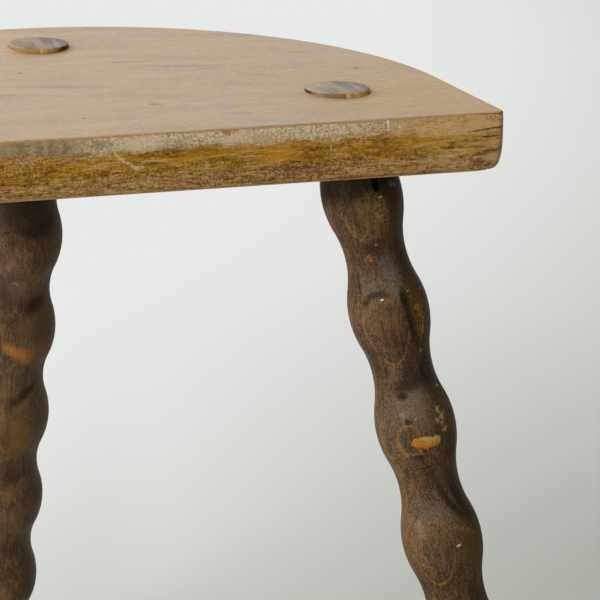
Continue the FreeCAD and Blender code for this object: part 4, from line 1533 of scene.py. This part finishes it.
def back_leg_marks() -> Marks:
    """List what the back leg has collected, across from its front and down from the seat."""
    orange, olive, black = tint(186, 118, 42), tint(116, 92, 50), tint(30, 24, 18)
    tan, grey, pale_and_lit = tint(126, 86, 46), tint(150, 134, 114), tint(108, 92, 76)
    return marks(
        (-3.5, -191.5, 4, 3.5, orange, 0.35, 0.3, 0.5, 0.8),
        (3, -195.5, 5.5, 4, orange, 0.6, 0.2, 0.5, 0.7),
        (8, -200.5, 4, 4, orange, 0.4, -0.4, 0.5, 0.7),
        (15, -194.5, 7.5, 4.5, orange, 0.25, -0.2, 0.5, 0.8),
        (5, -99, 46, 19, black, 0.72, 0, 0.2, 0.5),
        (-1, -152, 8, 6, pale_and_lit, 0.4, 0, 0.5, 0.8),
        (3, -179, 11, 8, black, 0.4, 0, 0.5, 0.8),
        # A pale column down the leg's right side: painted light falling on it
        (25, -230, 14, 130, pale_and_lit, 0.45, 0, 0.5, 0.9),
        (9, -176, 8, 5, olive, 0.3, 0, 0.5, 0.8),
        (4, -268, 12, 7, tan, 0.3, 0, 0.5, 0.8),
        (13, -165, 11, 4.5, black, 0.7, -0.3, 0.5, 0.7),
        (-6, -170, 6, 8, black, 0.4, 0, 0.5, 0.8),
        (9, -236, 7, 3.4, olive, 0.6, -0.6, 0.5, 0.8),
        (11, -228, 12, 3, black, 0.7, -0.6, 0.5, 0.7),
        (-6, -229, 5, 5, olive, 0.4, 0.4, 0.5, 0.8),
        (5.5, -255, 5, 9, tan, 0.6, 0, 0.5, 0.8),
        (-6, -252, 4, 10, tan, 0.4, 0, 0.5, 0.8),
        (5.5, -141, 2, 3.5, tan, 0.4, 0, 0.9, 0.6),
        (11.5, -150, 1.6, 2.8, tan, 0.45, 0, 0.9, 0.6),
        (-2, -149, 2.4, 0.9, grey, 0.45, 0.3, 0.5, 0.5),
        (11, -110, 10, 4, black, 0.6, -0.3, 0.5, 0.7),
        (0, -292, 14, 5, black, 0.5, -0.3, 0.5, 0.8),
        (3, -302, 4, 5, olive, 0.5, 0, 0.5, 0.8),
        (8, -322, 4, 6, tan, 0.5, 0, 0.5, 0.8),
    )


# Colours across the right leg's tenon wall, left to right; the dark olive at the right end is painted
# shade
RIGHT_WALL: Scale = (
    (0.01, tint(64, 50, 40)),
    (0.06, tint(150, 120, 94)),
    (0.20, tint(128, 102, 78)),
    (0.54, tint(150, 122, 94)),
    (0.58, tint(104, 78, 56)),
    (0.62, tint(250, 216, 144)),
    (0.84, tint(244, 196, 96)),
    (0.90, tint(206, 164, 40)),
    (1.0, tint(110, 108, 72)),
)
# The same for the back leg; its dark right end is painted shade, with a chip
BACK_WALL: Scale = (
    (0.0, tint(154, 120, 84)),
    (0.44, tint(176, 142, 96)),
    (0.62, tint(214, 186, 122)),
    (0.74, tint(186, 160, 86)),
    (0.8, tint(88, 80, 44)),
    (1.0, tint(98, 90, 52)),
)


@dataclass(frozen=True)
class Stand:
    """How the three legs are set out under the seat."""

    low: Vector
    high: Vector
    side_inset: float = 0.0712
    front_inset: float = 0.061
    back_inset: float = 0.0455
    front_splay: float = math.radians(16.75)
    back_splay: float = math.radians(17.3)
    front_turn: float = math.radians(47.5)
    front_neck: float = 0.0167
    back_neck: float = 0.023
    kerf_turn: float = math.radians(7)

    def leg(self, name: str, across: float, along: float, **fields: Any) -> Leg:
        """Place one leg.

        Args:
            name: The leg's name.
            across: How far right its axis crosses the seat's top.
            along: How far towards the back it does.
            fields: The leg's other sizes and looks.

        Returns:
            The leg.
        """
        top = Vector((across, along, self.high.z))
        return Leg(name, top, seat_thickness=self.high.z - self.low.z, **fields)

    def legs(self) -> list[Leg]:
        """Set out the legs, each with the marks that it has collected."""
        across, setback = self.high.x - self.side_inset, self.low.y + self.front_inset
        left = self.leg(
            "front_left",
            -across,
            setback,
            splay=self.front_splay,
            turn=self.front_turn - math.pi,
            neck=self.front_neck,
            front=math.radians(21),
            kerf_turn=-self.kerf_turn,
            marks=left_leg_marks(),
        )
        right = self.leg(
            "front_right",
            across,
            setback,
            splay=self.front_splay,
            turn=-self.front_turn,
            neck=self.front_neck,
            front=math.radians(-66),
            kerf_turn=self.kerf_turn,
            marks=right_leg_marks(),
            wall=RIGHT_WALL,
        )
        back = self.leg(
            "back",
            0.0,
            self.high.y - self.back_inset,
            splay=self.back_splay,
            turn=math.pi / 2,
            neck=self.back_neck,
            front=math.radians(160),
            marks=back_leg_marks(),
            wall=BACK_WALL,
            end_left=tint(146, 129, 108),
            end_wedge=tint(157, 142, 126),
            end_right=tint(134, 121, 113),
            # Deeper and longer painted shade under the seat, with soot, for the back leg
            soot=0.95,
            soot_reach=0.075,
            speckle=0.08,
            # A darker tone: painted shade for the back leg standing under the seat
            tone=-0.015,
            halo=0.9,
            shelter=0.25,
        )
        return [left, right, back]


def main() -> None:
    """Build the stool and its studio, and log each new piece's face count."""
    logging.basicConfig(level=logging.INFO, format="%(name)s: %(message)s")
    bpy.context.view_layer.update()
    Viewpoint().build()
    Studio().build()
    low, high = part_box("seat")
    legs = Stand(low, high).legs()
    Seat(low, high, legs).build()
    for leg in legs:
        leg.build()


if __name__ == "__main__":
    main()
